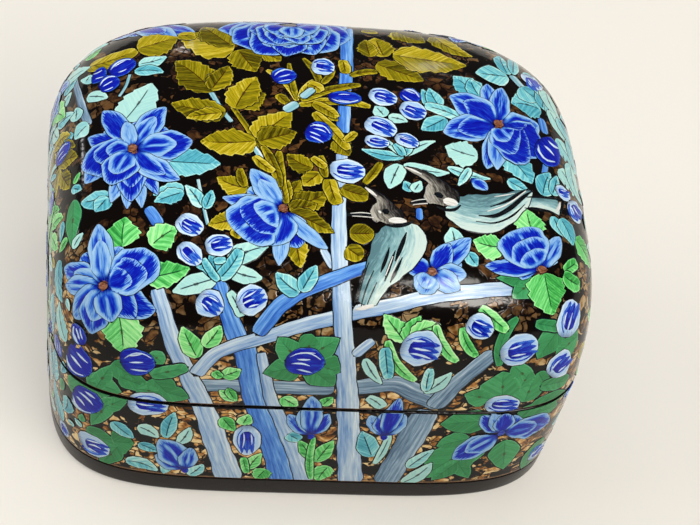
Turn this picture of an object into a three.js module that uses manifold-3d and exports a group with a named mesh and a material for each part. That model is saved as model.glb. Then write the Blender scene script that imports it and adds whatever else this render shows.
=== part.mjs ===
// A hand-moulded papier-mache box: an oblong base with soft corners, and a domed lid that lifts straight off.
// The base is a moulded wall on a low black plinth, with a floor board let into the plinth and a thin collar
// glued inside the rim. The lid drops over the collar and rests on the wall. Millimetres, +Z up. The origin
// is the middle of the underside, and +X runs along the length.
import * as THREE from 'three';
import { mergeVertices } from 'three/addons/utils/BufferGeometryUtils.js';
import Module from 'manifold-3d';

const wasm = await Module();
wasm.setup();

// Outside sizes
const length = 127; // left to right, at the seam
const depth = 101.6; // front to back, at the seam
const seamHeight = 34.6; // ground to the rim of the base
const lidRise = 41.1; // rim of the lid to its crown
const lidSwell = 3; // how far the lid's side would lean out by the crown
const footInset = 2.1; // how far the foot stands inside the seam
const footCurve = 1.4; // 1 tapers the base straight, more keeps the taper low down

// How square the moulds are: 2 is an ellipse, and more is squarer
const seamSquareness = 5.5;
const footSquareness = 4.7;
const crownSquareness = 2.95;
const shoulderSquareness = 3.5; // the lid's section, from rim to crown

// Pulp, strip and board
const wallThickness = 3.6;
const collarThickness = 1.5;
const collarRise = 6.5; // above the base's rim
const collarDepth = 11; // below it
const plinthHeight = 6.2;
const rebateInset = 3; // outside of the plinth to the edge of its rebate
const lipHeight = 1.3; // the ledge that the floor board rests on
const lipWidth = 4;

// Clearances and edges
const glueLine = 0.3; // between glued faces
const seamGap = 0.3; // lid's rim over base's rim
const collarClearance = 0.5; // lid's inner face to the collar
const rimRound = 0.7; // rubbed edges of lid and wall
const plinthRound = 1.6;
const collarRound = 0.4;
const scarfLength = 9; // the slanting lap where the collar's two ends meet
const scarfGap = 0.3;

// Smoothness of the surfaces
const sides = 80;
const outerSteps = 15;
const innerSteps = 11;
const wallSteps = 4;
const edgeSteps = 2;

const lidFoot = seamHeight + seamGap;
const wallFoot = plinthHeight + glueLine;
const collarInset = wallThickness + glueLine;
const lidThickness = collarInset - collarClearance;

// One level outline of the box: a superellipse about the axis.
function ring(halfLength, halfDepth, squareness, height) {
  const points = [];
  for (let k = 0; k < sides; k += 1) {
    const turn = (2 * Math.PI * (k + 0.5)) / sides;
    const across = Math.abs(Math.cos(turn) / halfLength) ** squareness;
    const along = Math.abs(Math.sin(turn) / halfDepth) ** squareness;
    const reach = (across + along) ** (-1 / squareness);
    points.push([reach * Math.cos(turn), reach * Math.sin(turn), height]);
  }
  return points;
}

// The centre of a level, where a surface closes.
function pole(height) {
  return [[0, 0, height]];
}

// The outline of the base at a height, moved in from its outside by an inset.
function baseRing(height, inset) {
  const below = Math.max(0, (seamHeight - height) / seamHeight);
  const drawnIn = footInset * below ** footCurve + inset;
  const squareness = seamSquareness + (footSquareness - seamSquareness) * below;
  return ring(length / 2 - drawnIn, depth / 2 - drawnIn, squareness, height);
}

// The outline of the lid, climbing from its rim (0) to its crown (a quarter turn), moved in by an inset.
function lidRing(climb, inset) {
  const out = Math.cos(climb);
  const up = Math.sin(climb);
  const reach = (out ** shoulderSquareness + up ** shoulderSquareness) ** (-1 / shoulderSquareness);
  const rise = reach * up;
  const swell = lidSwell * rise - inset;
  const squareness = seamSquareness + (crownSquareness - seamSquareness) * rise;
  const height = lidFoot + (lidRise - inset) * rise;
  return ring((length / 2 + swell) * reach * out, (depth / 2 + swell) * reach * out, squareness, height);
}

// The outline of the lid close to its rim.
function lidRimRing(height, inset) {
  return ring(length / 2 - inset, depth / 2 - inset, seamSquareness, height);
}

// Skins rings in order into one closed surface. The rings run down the inside and up the outside.
// It closes on a pole at each end, or joins its last ring to its first.
function loft(rings) {
  const starts = [];
  const positions = [];
  for (const points of rings) {
    starts.push(positions.length / 3);
    for (const point of points) positions.push(...point);
  }
  const closed = rings[0].length > 1;
  const spans = closed ? rings.length : rings.length - 1;
  const index = [];
  for (let r = 0; r < spans; r += 1) {
    const next = (r + 1) % rings.length;
    for (let k = 0; k < sides; k += 1) {
      const l = (k + 1) % sides;
      const a = starts[r] + k;
      const b = starts[r] + l;
      const c = starts[next] + l;
      const d = starts[next] + k;
      if (rings[r].length === 1) index.push(starts[r], c, d);
      else if (rings[next].length === 1) index.push(a, b, starts[next]);
      else index.push(a, b, c, a, c, d);
    }
  }
  const geometry = new THREE.BufferGeometry();
  geometry.setAttribute('position', new THREE.Float32BufferAttribute(positions, 3));
  geometry.setIndex(index);
  geometry.computeVertexNormals();
  return geometry;
}

// A quarter round as [inset, height] steps, from a start angle, about a centre.
function rounded(inset, height, radius, from) {
  const steps = [];
  for (let s = 0; s <= edgeSteps; s += 1) {
    const angle = from + (Math.PI / 2) * (s / edgeSteps);
    steps.push([inset - radius * Math.cos(angle), height + radius * Math.sin(angle)]);
  }
  return steps;
}

function asManifold(geometry) {
  const bare = geometry.clone();
  for (const name of ['normal', 'uv']) bare.deleteAttribute(name);
  const merged = mergeVertices(bare, 1e-4);
  return new wasm.Manifold(new wasm.Mesh({
    numProp: 3,
    vertProperties: new Float32Array(merged.attributes.position.array),
    triVerts: new Uint32Array(merged.index.array),
  }));
}

function asGeometry(solid) {
  const made = solid.getMesh();
  const geometry = new THREE.BufferGeometry();
  geometry.setAttribute('position', new THREE.BufferAttribute(made.vertProperties, 3));
  geometry.setIndex(new THREE.BufferAttribute(made.triVerts, 1));
  geometry.computeVertexNormals();
  return geometry;
}

function named(name, geometry, material) {
  const mesh = new THREE.Mesh(geometry, material);
  mesh.name = name;
  return mesh;
}

// The domed lid: one moulded shell of even thickness with a rubbed rim.
function lidShell() {
  const rings = [pole(lidFoot + lidRise - lidThickness)];
  for (let s = innerSteps - 1; s >= 1; s -= 1) {
    rings.push(lidRing((Math.PI / 2) * (s / innerSteps), lidThickness));
  }
  const rim = [
    ...rounded(lidThickness - rimRound, lidFoot + rimRound, rimRound, Math.PI),
    ...rounded(rimRound, lidFoot + rimRound, rimRound, -Math.PI / 2),
  ];
  for (const [inset, height] of rim) rings.push(lidRimRing(height, inset));
  for (let s = 1; s < outerSteps; s += 1) {
    rings.push(lidRing((Math.PI / 2) * (s / outerSteps), 0));
  }
  rings.push(pole(lidFoot + lidRise));
  return loft(rings);
}

// The wall of the base, which draws in towards the plinth.
function baseWall() {
  const profile = [];
  const straight = seamHeight - rimRound - wallFoot;
  for (let s = 0; s < wallSteps; s += 1) {
    profile.push([0, wallFoot + straight * (s / wallSteps)]);
  }
  profile.push(...rounded(rimRound, seamHeight - rimRound, rimRound, 0));
  profile.push(...rounded(wallThickness - rimRound, seamHeight - rimRound, rimRound, Math.PI / 2));
  for (let s = wallSteps - 1; s >= 0; s -= 1) {
    profile.push([wallThickness, wallFoot + straight * (s / wallSteps)]);
  }
  return loft(profile.map(([inset, height]) => baseRing(height, inset)));
}

// The black plinth: a ring under the wall, with a rebate and a lip that carry the floor board.
function plinth() {
  const profile = [
    ...rounded(plinthRound, plinthRound, plinthRound, -Math.PI / 2),
    [0, plinthHeight],
    [rebateInset, plinthHeight],
    [rebateInset, lipHeight],
    [rebateInset + lipWidth, lipHeight],
    [rebateInset + lipWidth, 0],
  ];
  return loft(profile.map(([inset, height]) => baseRing(height, inset)));
}

// The floor board, dropped on the plinth's lip and flush with the plinth's top. The wall covers its edge,
// and its last ring bounds the clear floor inside the collar, where things lie.
function floorBoard() {
  const edge = rebateInset + glueLine;
  const under = lipHeight + glueLine;
  return loft([
    pole(under),
    baseRing(under, edge),
    baseRing(plinthHeight, edge),
    baseRing(plinthHeight, collarInset + collarThickness),
    pole(plinthHeight),
  ]);
}

// The collar: a strip bent round inside the wall, its ends lapped in a long slant at the back.
function collar() {
  const inner = collarInset + collarThickness;
  const top = seamHeight + collarRise;
  const bottom = seamHeight - collarDepth;
  const profile = [
    [collarInset, bottom],
    [collarInset, seamHeight],
    ...rounded(collarInset + collarRound, top - collarRound, collarRound, 0),
    ...rounded(inner - collarRound, top - collarRound, collarRound, Math.PI / 2),
    [inner, seamHeight],
    [inner, bottom],
  ];
  const strip = loft(profile.map(([inset, height]) => baseRing(height, inset)));
  const slant = Math.atan2(collarThickness, scarfLength);
  const slit = new THREE.BoxGeometry(2 * scarfLength, scarfGap, 2 * (collarRise + collarDepth));
  slit.rotateZ(slant);
  slit.translate(0, depth / 2 - collarInset - collarThickness / 2, (top + bottom) / 2);
  return asGeometry(asManifold(strip).subtract(asManifold(slit)));
}

const paintedGround = new THREE.MeshStandardMaterial({ color: 0x1c1410, roughness: 0.12, metalness: 0 });
const blackLacquer = new THREE.MeshStandardMaterial({ color: 0x141214, roughness: 0.35, metalness: 0 });

const box = new THREE.Group();
box.add(
  named('lid_shell', lidShell(), paintedGround),
  named('base_wall', baseWall(), paintedGround.clone()),
  named('locating_collar', collar(), blackLacquer),
  named('floor_board', floorBoard(), blackLacquer.clone()),
  named('foot_plinth', plinth(), blackLacquer.clone()),
);

export default box;
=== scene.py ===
# %% [markdown]
# A hand-painted papier-mache box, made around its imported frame. The moulded shells are modelled finely over
# the frame's plain ones, and then the painter's work is laid on them: every leaf, petal and bough is a thin
# raised film of paint of its own, because on the real box each stroke stands a little proud under the gloss.

# %% The frame
import math
import random

import bpy
import bmesh
from mathutils import Matrix, Vector
from mathutils.bvhtree import BVHTree
from mathutils.geometry import interpolate_bezier


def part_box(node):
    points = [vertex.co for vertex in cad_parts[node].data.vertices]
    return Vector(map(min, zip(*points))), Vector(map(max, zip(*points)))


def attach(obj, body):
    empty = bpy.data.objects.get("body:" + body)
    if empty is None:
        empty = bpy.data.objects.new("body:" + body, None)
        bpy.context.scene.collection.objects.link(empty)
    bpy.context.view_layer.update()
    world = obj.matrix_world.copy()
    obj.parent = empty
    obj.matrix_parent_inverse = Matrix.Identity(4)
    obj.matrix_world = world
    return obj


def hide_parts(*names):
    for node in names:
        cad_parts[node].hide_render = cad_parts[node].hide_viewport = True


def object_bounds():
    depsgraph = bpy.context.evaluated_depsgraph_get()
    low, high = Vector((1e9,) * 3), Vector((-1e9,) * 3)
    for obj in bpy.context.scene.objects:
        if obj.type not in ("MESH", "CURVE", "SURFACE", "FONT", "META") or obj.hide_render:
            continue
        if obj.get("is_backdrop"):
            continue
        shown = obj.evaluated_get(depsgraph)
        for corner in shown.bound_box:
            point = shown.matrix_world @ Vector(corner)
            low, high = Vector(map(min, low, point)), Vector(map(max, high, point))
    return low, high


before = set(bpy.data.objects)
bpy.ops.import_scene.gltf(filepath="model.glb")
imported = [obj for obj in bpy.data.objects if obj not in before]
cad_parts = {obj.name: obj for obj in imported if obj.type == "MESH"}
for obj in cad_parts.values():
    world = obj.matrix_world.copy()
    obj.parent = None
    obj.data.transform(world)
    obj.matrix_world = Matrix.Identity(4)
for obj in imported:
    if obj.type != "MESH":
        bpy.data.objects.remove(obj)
cad_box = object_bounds()

# %% [markdown]
# Every size comes from the frame where the frame has it. The numbers for the moulds are those of the part:
# a level outline of the box is a superellipse, an oval pushed out towards its corners, and 2 is an ellipse
# while more is squarer. Lengths in this script are in millimetres, and one factor turns them into metres.

# %% Sizes of the box
MM = 0.001


def reach_of(node):
    """Lowest and highest corner of a node, in millimetres."""
    low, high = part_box(node)
    return Vector(low) / MM, Vector(high) / MM


lid_low, lid_high = reach_of("lid_shell")
wall_low, wall_high = reach_of("base_wall")
collar_low, collar_high = reach_of("locating_collar")

half_length = wall_high.x
half_depth = wall_high.y
seam_height = wall_high.z
wall_foot = wall_low.z
lid_foot = lid_low.z
lid_rise = lid_high.z - lid_foot
plinth_height = reach_of("foot_plinth")[1].z

foot_inset = 2.1
foot_curve = 1.4
lid_swell = 3.0
seam_squareness = 5.5
foot_squareness = 4.7
crown_squareness = 2.95
shoulder_squareness = 3.5

wall_thickness = 3.6
glue_line = 0.3
collar_thickness = 1.5
lid_thickness = 3.4
rebate_inset = 3.0
lip_height = 1.3
lip_width = 4.0
rim_round = 0.4
rim_segments = 3
sharp_from = 50
print("length, depth, height:", round(2 * half_length, 1), round(2 * half_depth, 1), round(lid_high.z, 1))

# %% [markdown]
# These three functions are the moulds that the paper was laid over. One gives a point of a level outline, one
# an outline of the base, and one an outline of the lid, where climb goes from the rim to the crown.

# %% The shape of the moulds


def outline(angle, across, along, squareness):
    """A point of a superellipse, seen from its middle at an angle."""
    across = max(across, 1e-6)
    along = max(along, 1e-6)
    total = abs(math.cos(angle) / across) ** squareness + abs(math.sin(angle) / along) ** squareness
    reach = total ** (-1 / squareness)
    return reach * math.cos(angle), reach * math.sin(angle)


def base_point(angle, height, inset=0.0):
    below = max(0.0, (seam_height - height) / seam_height)
    drawn_in = foot_inset * below ** foot_curve + inset
    squareness = seam_squareness + (foot_squareness - seam_squareness) * below
    x, y = outline(angle, half_length - drawn_in, half_depth - drawn_in, squareness)
    return Vector((x, y, height))


def lid_point(angle, climb):
    out, up = max(0.0, math.cos(climb)), math.sin(climb)
    reach = (out ** shoulder_squareness + up ** shoulder_squareness) ** (-1 / shoulder_squareness)
    rise = reach * up
    swell = lid_swell * rise
    squareness = seam_squareness + (crown_squareness - seam_squareness) * rise
    x, y = outline(angle, (half_length + swell) * reach * out, (half_depth + swell) * reach * out, squareness)
    return Vector((x, y, lid_foot + lid_rise * rise))


# %% [markdown]
# Blender's operators act on whatever is selected, so each step starts from an empty selection. A piece that
# is ready gets its smooth shading and the body that it moves with.

# %% Small helpers for modelling


def start_clean():
    if bpy.context.object and bpy.context.object.mode != "OBJECT":
        bpy.ops.object.mode_set(mode="OBJECT")
    bpy.ops.object.select_all(action="DESELECT")


def pick(piece):
    start_clean()
    bpy.context.view_layer.objects.active = piece
    piece.select_set(True)


def edit(piece):
    pick(piece)
    bpy.ops.object.mode_set(mode="EDIT")
    bpy.ops.mesh.select_all(action="DESELECT")


def apply_all(piece):
    pick(piece)
    for modifier in list(piece.modifiers):
        bpy.ops.object.modifier_apply(modifier=modifier.name)


def smooth(piece, degrees=40):
    pick(piece)
    bpy.ops.object.shade_smooth_by_angle(angle=math.radians(degrees))


def round_sharp_edges(piece):
    """Rubs the rims round, as far as rim_round says."""
    edit(piece)
    bpy.ops.mesh.select_mode(type="EDGE")
    bpy.ops.mesh.edges_select_sharp(sharpness=math.radians(sharp_from))
    bpy.ops.mesh.bevel(offset=rim_round * MM, segments=rim_segments, affect="EDGES")
    bpy.ops.object.mode_set(mode="OBJECT")


def report(piece):
    triangles = sum(len(face.vertices) - 2 for face in piece.data.polygons)
    print(piece.name, triangles, "triangles")


# %% [markdown]
# The lid is one moulded shell. It starts as a sphere cut in half, and each point of the half sphere is moved
# to where the mould has it, so the shoulder stays tight and the crown nearly flat. Solidify then gives the
# even thickness of the laid-up paper inwards, and the rubbed rim is a small bevel.

# %% The lid
around = 320
up_the_lid = 64


def mould_lid():
    start_clean()
    bpy.ops.mesh.primitive_uv_sphere_add(segments=around, ring_count=2 * up_the_lid, radius=1)
    lid = bpy.context.object
    lid.name = lid.data.name = "moulded_lid"
    edit(lid)
    bpy.ops.mesh.select_all(action="SELECT")
    bpy.ops.mesh.bisect(plane_co=(0, 0, 0), plane_no=(0, 0, 1), clear_inner=True, threshold=1e-4)
    bpy.ops.object.mode_set(mode="OBJECT")
    for vertex in lid.data.vertices:
        angle = math.atan2(vertex.co.y, vertex.co.x)
        climb = math.asin(min(1.0, max(0.0, vertex.co.z)))
        vertex.co = lid_point(angle, climb) * MM
    wall = lid.modifiers.new("wall", "SOLIDIFY")
    wall.thickness = lid_thickness * MM
    wall.offset = -1
    wall.use_even_offset = True
    wall.material_offset = 1
    apply_all(lid)
    round_sharp_edges(lid)
    smooth(lid)
    return lid


moulded_lid = mould_lid()
report(moulded_lid)

# %% [markdown]
# The base wall, the collar and the plinth are rings of one section each. A ring starts as a circle on the
# first corner of its section, is extruded to the next corner and set to the mould there, and is joined up at
# the end by bridging. An inset is how far a corner stands inside the outside of the base.

# %% Rings of one section


def mould_ring(name, section):
    start_clean()
    bpy.ops.mesh.primitive_circle_add(vertices=around, radius=1)
    ring = bpy.context.object
    ring.name = ring.data.name = name
    edit(ring)
    bpy.ops.mesh.select_mode(type="VERT")
    bpy.ops.mesh.select_all(action="SELECT")
    for corner, (inset, height) in enumerate(section):
        if corner:
            bpy.ops.mesh.extrude_edges_move()
        mesh = bmesh.from_edit_mesh(ring.data)
        for vertex in mesh.verts:
            if vertex.select:
                angle = math.atan2(vertex.co.y, vertex.co.x)
                vertex.co = base_point(angle, height, inset) * MM
        bmesh.update_edit_mesh(ring.data)
    bpy.ops.mesh.select_all(action="DESELECT")
    bpy.ops.mesh.select_non_manifold()
    bpy.ops.mesh.bridge_edge_loops()
    bpy.ops.mesh.select_all(action="SELECT")
    bpy.ops.mesh.normals_make_consistent(inside=False)
    bpy.ops.object.mode_set(mode="OBJECT")
    return ring


wall_levels = 22
levels = [wall_foot + (seam_height - wall_foot) * step / wall_levels for step in range(wall_levels + 1)]
wall_section = [(0, height) for height in levels]
wall_section += [(wall_thickness, height) for height in reversed(levels)]
moulded_base = mould_ring("moulded_base", wall_section)
round_sharp_edges(moulded_base)
smooth(moulded_base)
report(moulded_base)

# %% [markdown]
# The plinth is a low ring with a rebate for the floor board. Its outer foot is worn round, so its section
# turns through a wide quarter arc there.

# %% The plinth
plinth_round = 1.6
plinth_section = [
    (0, plinth_round),
    (0, plinth_height),
    (rebate_inset, plinth_height),
    (rebate_inset, lip_height),
    (rebate_inset + lip_width, lip_height),
    (rebate_inset + lip_width, 0),
    (plinth_round, 0),
]
foot_arc = [math.radians(degrees) for degrees in (67.5, 45, 22.5)]
for turn in foot_arc:
    out = plinth_round * (1 - math.cos(turn))
    down = plinth_round * (1 - math.sin(turn))
    plinth_section.append((out, down))
foot_ring = mould_ring("foot_ring", plinth_section)
smooth(foot_ring)
report(foot_ring)

# %% [markdown]
# The collar is a strip glued inside the wall. It stands above the rim, its ends meet at the back in a long
# slanting lap, and the lid drops over it. A thin slab, turned to the slant, cuts the lap.

# %% The collar
collar_inset = wall_thickness + glue_line
scarf_length = 9.0
scarf_gap = 0.3


def cut_away(piece, cutter):
    cut = piece.modifiers.new("cut", "BOOLEAN")
    cut.operation = "DIFFERENCE"
    cut.solver = "EXACT"
    cut.object = cutter
    apply_all(piece)
    bpy.data.objects.remove(cutter, do_unlink=True)


def make_collar():
    bottom, top = collar_low.z, collar_high.z
    inner = collar_inset + collar_thickness
    section = [(collar_inset, bottom), (collar_inset, seam_height), (collar_inset, top)]
    section += [(inner, top), (inner, seam_height), (inner, bottom)]
    strip = mould_ring("collar_strip", section)
    round_sharp_edges(strip)
    middle = half_depth - collar_inset - collar_thickness / 2
    start_clean()
    bpy.ops.mesh.primitive_cube_add(size=1, location=(0, middle * MM, (top + bottom) / 2 * MM))
    slab = bpy.context.object
    slab.scale = (2 * scarf_length * MM, scarf_gap * MM, 2 * (top - bottom) * MM)
    slab.rotation_euler.z = math.atan2(collar_thickness, scarf_length)
    cut_away(strip, slab)
    smooth(strip, 30)
    return strip


collar_strip = make_collar()
report(collar_strip)

# %% [markdown]
# The camera stands where the photograph was taken from: high on the left, with a long lens. A sight line is
# the straight way from the lens through a pixel of the photograph, counted in its 700 by 525 frame, and it is
# how a motif seen in the photograph finds its place on the box.

# %% The camera and its sight lines
photo_width, photo_height = 700, 525
lens_mm = 148.9
sensor_mm = 36
camera_at = Vector((-92.8, -481.4, 539.5))
view_azimuth = math.radians(12.08)
view_drop = math.radians(45.94)
view_roll = math.radians(10.98)

level_right = Vector((math.cos(view_azimuth), -math.sin(view_azimuth), 0))
flat_forward = Vector((math.sin(view_azimuth), math.cos(view_azimuth), 0))
view_forward = flat_forward * math.cos(view_drop) - Vector((0, 0, 1)) * math.sin(view_drop)
level_up = level_right.cross(view_forward)
view_right = level_right * math.cos(view_roll) + level_up * math.sin(view_roll)
view_up = level_up * math.cos(view_roll) - level_right * math.sin(view_roll)


def make_camera():
    start_clean()
    bpy.ops.object.camera_add()
    camera = bpy.context.object
    camera.data.lens = lens_mm
    camera.data.sensor_width = sensor_mm
    camera.data.clip_end = 20
    turn = Matrix((view_right, view_up, -view_forward)).transposed()
    camera.matrix_world = Matrix.Translation(camera_at * MM) @ turn.to_4x4()
    bpy.context.scene.camera = camera


make_camera()
print("camera at", [round(value) for value in camera_at], "mm, lens", lens_mm, "mm")


def sight_line(x, y):
    pixels_per_mm = photo_width / sensor_mm
    across = (x - photo_width / 2) / pixels_per_mm
    rising = (photo_height / 2 - y) / pixels_per_mm
    return (view_forward * lens_mm + view_right * across + view_up * rising).normalized()


# %% [markdown]
# Paint follows the box closely, so the script keeps a smooth copy of its outside, which it can ask for the
# nearest point and for the point that a sight line meets. It is only measured, never shown.

# %% The skin that the paint follows
skin_columns = 288
skin_lid_rows = 72
skin_wall_rows = 14
search_reach = 60
search_step = 4


def make_skin():
    angles = [2 * math.pi * (column + 0.5) / skin_columns for column in range(skin_columns)]
    points = []
    for row in range(skin_wall_rows + 1):
        height = seam_height * row / skin_wall_rows
        points += [base_point(angle, height) for angle in angles]
    for row in range(skin_lid_rows):
        climb = math.pi / 2 * row / skin_lid_rows
        points += [lid_point(angle, climb) for angle in angles]
    crown = len(points)
    points.append(Vector((0, 0, lid_foot + lid_rise)))
    faces = []
    rows = skin_wall_rows + 1 + skin_lid_rows
    for row in range(rows - 1):
        for column in range(skin_columns):
            after = (column + 1) % skin_columns
            low, high = row * skin_columns, (row + 1) * skin_columns
            faces.append((low + column, low + after, high + after, high + column))
    last = (rows - 1) * skin_columns
    for column in range(skin_columns):
        faces.append((last + column, last + (column + 1) % skin_columns, crown))
    return BVHTree.FromPolygons(points, faces)


skin = make_skin()
print("skin", skin_columns, "columns,", skin_wall_rows + skin_lid_rows, "rows")


def lay(point):
    """The nearest point of the skin, and the way straight out of it."""
    place, normal, _, _ = skin.find_nearest(point)
    return place, normal


def in_photo(x, y):
    """The point of the skin seen at a pixel of the photograph, or the one nearest to that sight line."""
    way = sight_line(x, y)
    hit, _, _, _ = skin.ray_cast(camera_at, way)
    if hit is not None:
        return hit
    reach = (Vector((0, 0, lid_foot)) - camera_at).dot(way)
    steps = range(-search_reach, search_reach + 1, search_step)
    tries = [camera_at + way * (reach + step) for step in steps]
    nearest = min(tries, key=lambda point: (lay(point)[0] - point).length)
    return lay(nearest)[0]

# %% [markdown]
# The sides that the photograph doesn't show are painted too. There a place is given the way a painter would
# measure it: along one of the four sides from its middle, and up from the ground, over the shoulder and on
# across the lid. On the back wall, along runs from right to left as it is seen.

# %% Places on the hidden sides
side_way = {"front": -90, "right": 0, "back": 90, "left": 180}
climb_steps = 60
climb_tables = {}


def lid_climb(angle, way_up):
    """How far to climb the lid for a length of way_up over its surface."""
    key = round(math.degrees(angle))
    if key not in climb_tables:
        climbs = [math.pi / 2 * step / climb_steps for step in range(climb_steps + 1)]
        points = [lid_point(math.radians(key), climb) for climb in climbs]
        gone = [0.0]
        for here, there in zip(points, points[1:]):
            gone.append(gone[-1] + (there - here).length)
        climb_tables[key] = gone
    gone = climb_tables[key]
    step = next((step for step in range(1, climb_steps) if gone[step] >= way_up), climb_steps)
    part = min(1.0, max(0.0, (way_up - gone[step - 1]) / (gone[step] - gone[step - 1])))
    return math.pi / 2 * (step - 1 + part) / climb_steps


def on_side(side):
    """A function that gives the skin's point at a length along a side and a way up from the ground."""
    facing = math.radians(side_way[side])
    out = Vector((math.cos(facing), math.sin(facing), 0))
    across = Vector((-out.y, out.x, 0))
    depth = abs(out.x) * half_length + abs(out.y) * half_depth

    def place(along, up):
        spot = out * depth + across * along
        angle = math.atan2(spot.y, spot.x)
        if up <= seam_height:
            return base_point(angle, max(0.0, up))
        return lid_point(angle, lid_climb(angle, up - lid_foot))

    return place


# %% [markdown]
# A film of paint is one mesh that gathers every stroke of its kind. Besides the points and faces it keeps
# three maps for the materials: where a point lies along and across its stroke, the same in millimetres, and
# how far it is from the stroke's edge beside a number of chance that makes each stroke a little different.

# %% A film of paint
films = {}


class Film:
    def __init__(self, name, paints):
        self.name = name
        self.paints = paints
        self.points = []
        self.faces = []
        self.colours = []
        self.stroke_map = []
        self.length_map = []
        self.edge_map = []
        films[name] = self

    def add_point(self, place, along, across, length_along, length_across, edge, chance):
        self.points.append(place * MM)
        self.stroke_map.append((along, across))
        self.length_map.append((length_along, length_across))
        self.edge_map.append((edge, chance))
        return len(self.points) - 1

    def add_face(self, corners, paint):
        self.faces.append(corners)
        self.colours.append(self.paints.index(paint))


# %% [markdown]
# Paint builds up as it does on the real box: a mark that is laid over others follows their relief. For that
# the skin is divided into small cells, and each cell and the ones next to it keep the height of their paint.

# %% The height of the paint
cell_size = 1.0
paint_step = 0.016
painted = set()
heights = {}
steps_around = [(x, y, z) for x in (-1, 0, 1) for y in (-1, 0, 1) for z in (-1, 0, 1)]


def cell_of(place):
    return round(place.x / cell_size), round(place.y / cell_size), round(place.z / cell_size)


def height_at(place):
    return heights.get(cell_of(place), 0.0)


def raise_paint(laid):
    """Notes the heights of the points of a mark in the cells."""
    tops = {}
    for place, height in laid:
        cell = cell_of(place)
        tops[cell] = max(tops.get(cell, 0.0), height)
    painted.update(tops)
    for (x, y, z), height in tops.items():
        for right, back, up in steps_around:
            near = x + right, y + back, z + up
            if heights.get(near, 0.0) < height:
                heights[near] = height


def eased(values):
    """Numbers in a row, each raised to the highest beside it and then evened out with its neighbours."""
    high = [max(values[max(0, spot - 1):spot + 2]) for spot in range(len(values))]
    windows = [high[max(0, spot - 1):spot + 2] for spot in range(len(high))]
    return [sum(window) / len(window) for window in windows]


def evened(rows):
    """Heights over a mark, eased across it and along it, so that it runs smoothly over what is below."""
    for turn in range(2):
        rows = [list(values) for values in zip(*[eased(row) for row in rows])]
    return rows


# %% [markdown]
# A stroke is laid like this: its middle line is smoothed through a few points of the skin, the width of the
# brush mark is set off to both sides, and every point is dropped back to the skin and lifted by the thickness
# of the paint. The outermost band can be the thin dark line that the painter draws round a mark. The rim dips
# under the skin and a narrow band closes it below, so each stroke is one small closed body.

# %% One brush stroke
chance = random.Random(7)
dip = 0.08
skirt = 0.1
film_swell = 0.008
thinnest = 0.03
finest_step = 0.85
widest_gap = 1.0
most_stations = 90
fewest_stations = 10
stations_a_tooth = 5
crowded_stations = 20
curve_steps = 25


def smooth_line(points, places):
    """Points along one smooth curve through the given ones, at places from 0 to 1."""
    if len(points) == 2:
        return [points[0].lerp(points[1], u) for u in places]
    padded = [points[0] * 2 - points[1], *points, points[-1] * 2 - points[-2]]
    fine = []
    for before, start, end, after in zip(padded, padded[1:], padded[2:], padded[3:]):
        first, second = start + (end - before) / 6, end - (after - start) / 6
        fine += interpolate_bezier(start, first, second, end, curve_steps)[:-1]
    fine.append(points[-1])
    lengths = [0.0]
    for here, there in zip(fine, fine[1:]):
        lengths.append(lengths[-1] + (there - here).length)
    line, spot = [], 0
    for u in places:
        goal = lengths[-1] * u
        while spot < len(fine) - 2 and lengths[spot + 1] < goal:
            spot += 1
        span = max(1e-9, lengths[spot + 1] - lengths[spot])
        line.append(fine[spot].lerp(fine[spot + 1], (goal - lengths[spot]) / span))
    return line


def stations_of(length, teeth):
    """Places along a stroke from 0 to 1, closer together towards its two ends."""
    count = max(fewest_stations, min(most_stations, round(length / finest_step)))
    if teeth:
        count = max(count, stations_a_tooth * teeth)
    crowding = min(1.0, crowded_stations / count)
    places = []
    for step in range(count + 1):
        even = step / count
        eased = (1 - math.cos(math.pi * even)) / 2
        places.append(even + (eased - even) * crowding)
    return places


def path_length(points):
    return sum((after - before).length for before, after in zip(points, points[1:]))


def spots_across(widest, line):
    """What lies across a stroke from side to side, as a kind of spot and a share of the half width."""
    inner = 1 + 2 * min(5, int(widest / widest_gap))
    spots = [("inside", -1 + 2 * (spot + 1) / (inner + 1)) for spot in range(inner)]
    if line:
        spots = [("line", -1), *spots, ("line", 1)]
    return [("rim", -1), ("edge", -1), *spots, ("edge", 1), ("rim", 1)]


# %% [markdown]
# Across its middle line a stroke has rows of points. The skin gives their places, the paint below gives
# their heights, and faces join each row to the next.

# %% The rows of a stroke


def lengthened(points, length, line):
    """The points of a mark, moved on at both ends to make room for its line."""
    before = points[0] + (points[0] - points[1]).normalized() * line
    after = points[-1] + (points[-1] - points[-2]).normalized() * line
    return [before, *points[1:-1], after] if length > 6 * line else [before, after]


def rows_of(path, places, length, half_width, spots, line):
    """Rows of points across a stroke, each on the skin, with its place in the stroke and the widths there."""
    rows = []
    for step in range(1, len(places) - 1):
        along = places[step]
        u = min(1.0, max(0.0, along / length))
        middle, normal = lay(path[step])
        sideways = normal.cross(path[step + 1] - path[step - 1]).normalized()
        rounding = 1.0
        if line:
            rounding = min(1.0, math.sqrt((min(along, length - along) + line) / (1.2 * line)))
        inner = {side: max(half_width(u, side), thinnest) for side in (-1, 1)}
        row = []
        for kind, mark in spots:
            side = -1 if mark < 0 else 1
            full = (inner[side] + line) * rounding
            aside = {"rim": full, "edge": full - min(skirt, full * 0.4)}.get(kind)
            if aside is None:
                aside = abs(mark) * (full - min(line, full * 0.45))
            place, out = lay(middle + sideways * (side * aside))
            row.append((place, out, kind, u, along, side * aside, inner[side], full))
        rows.append(row)
    return rows


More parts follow.
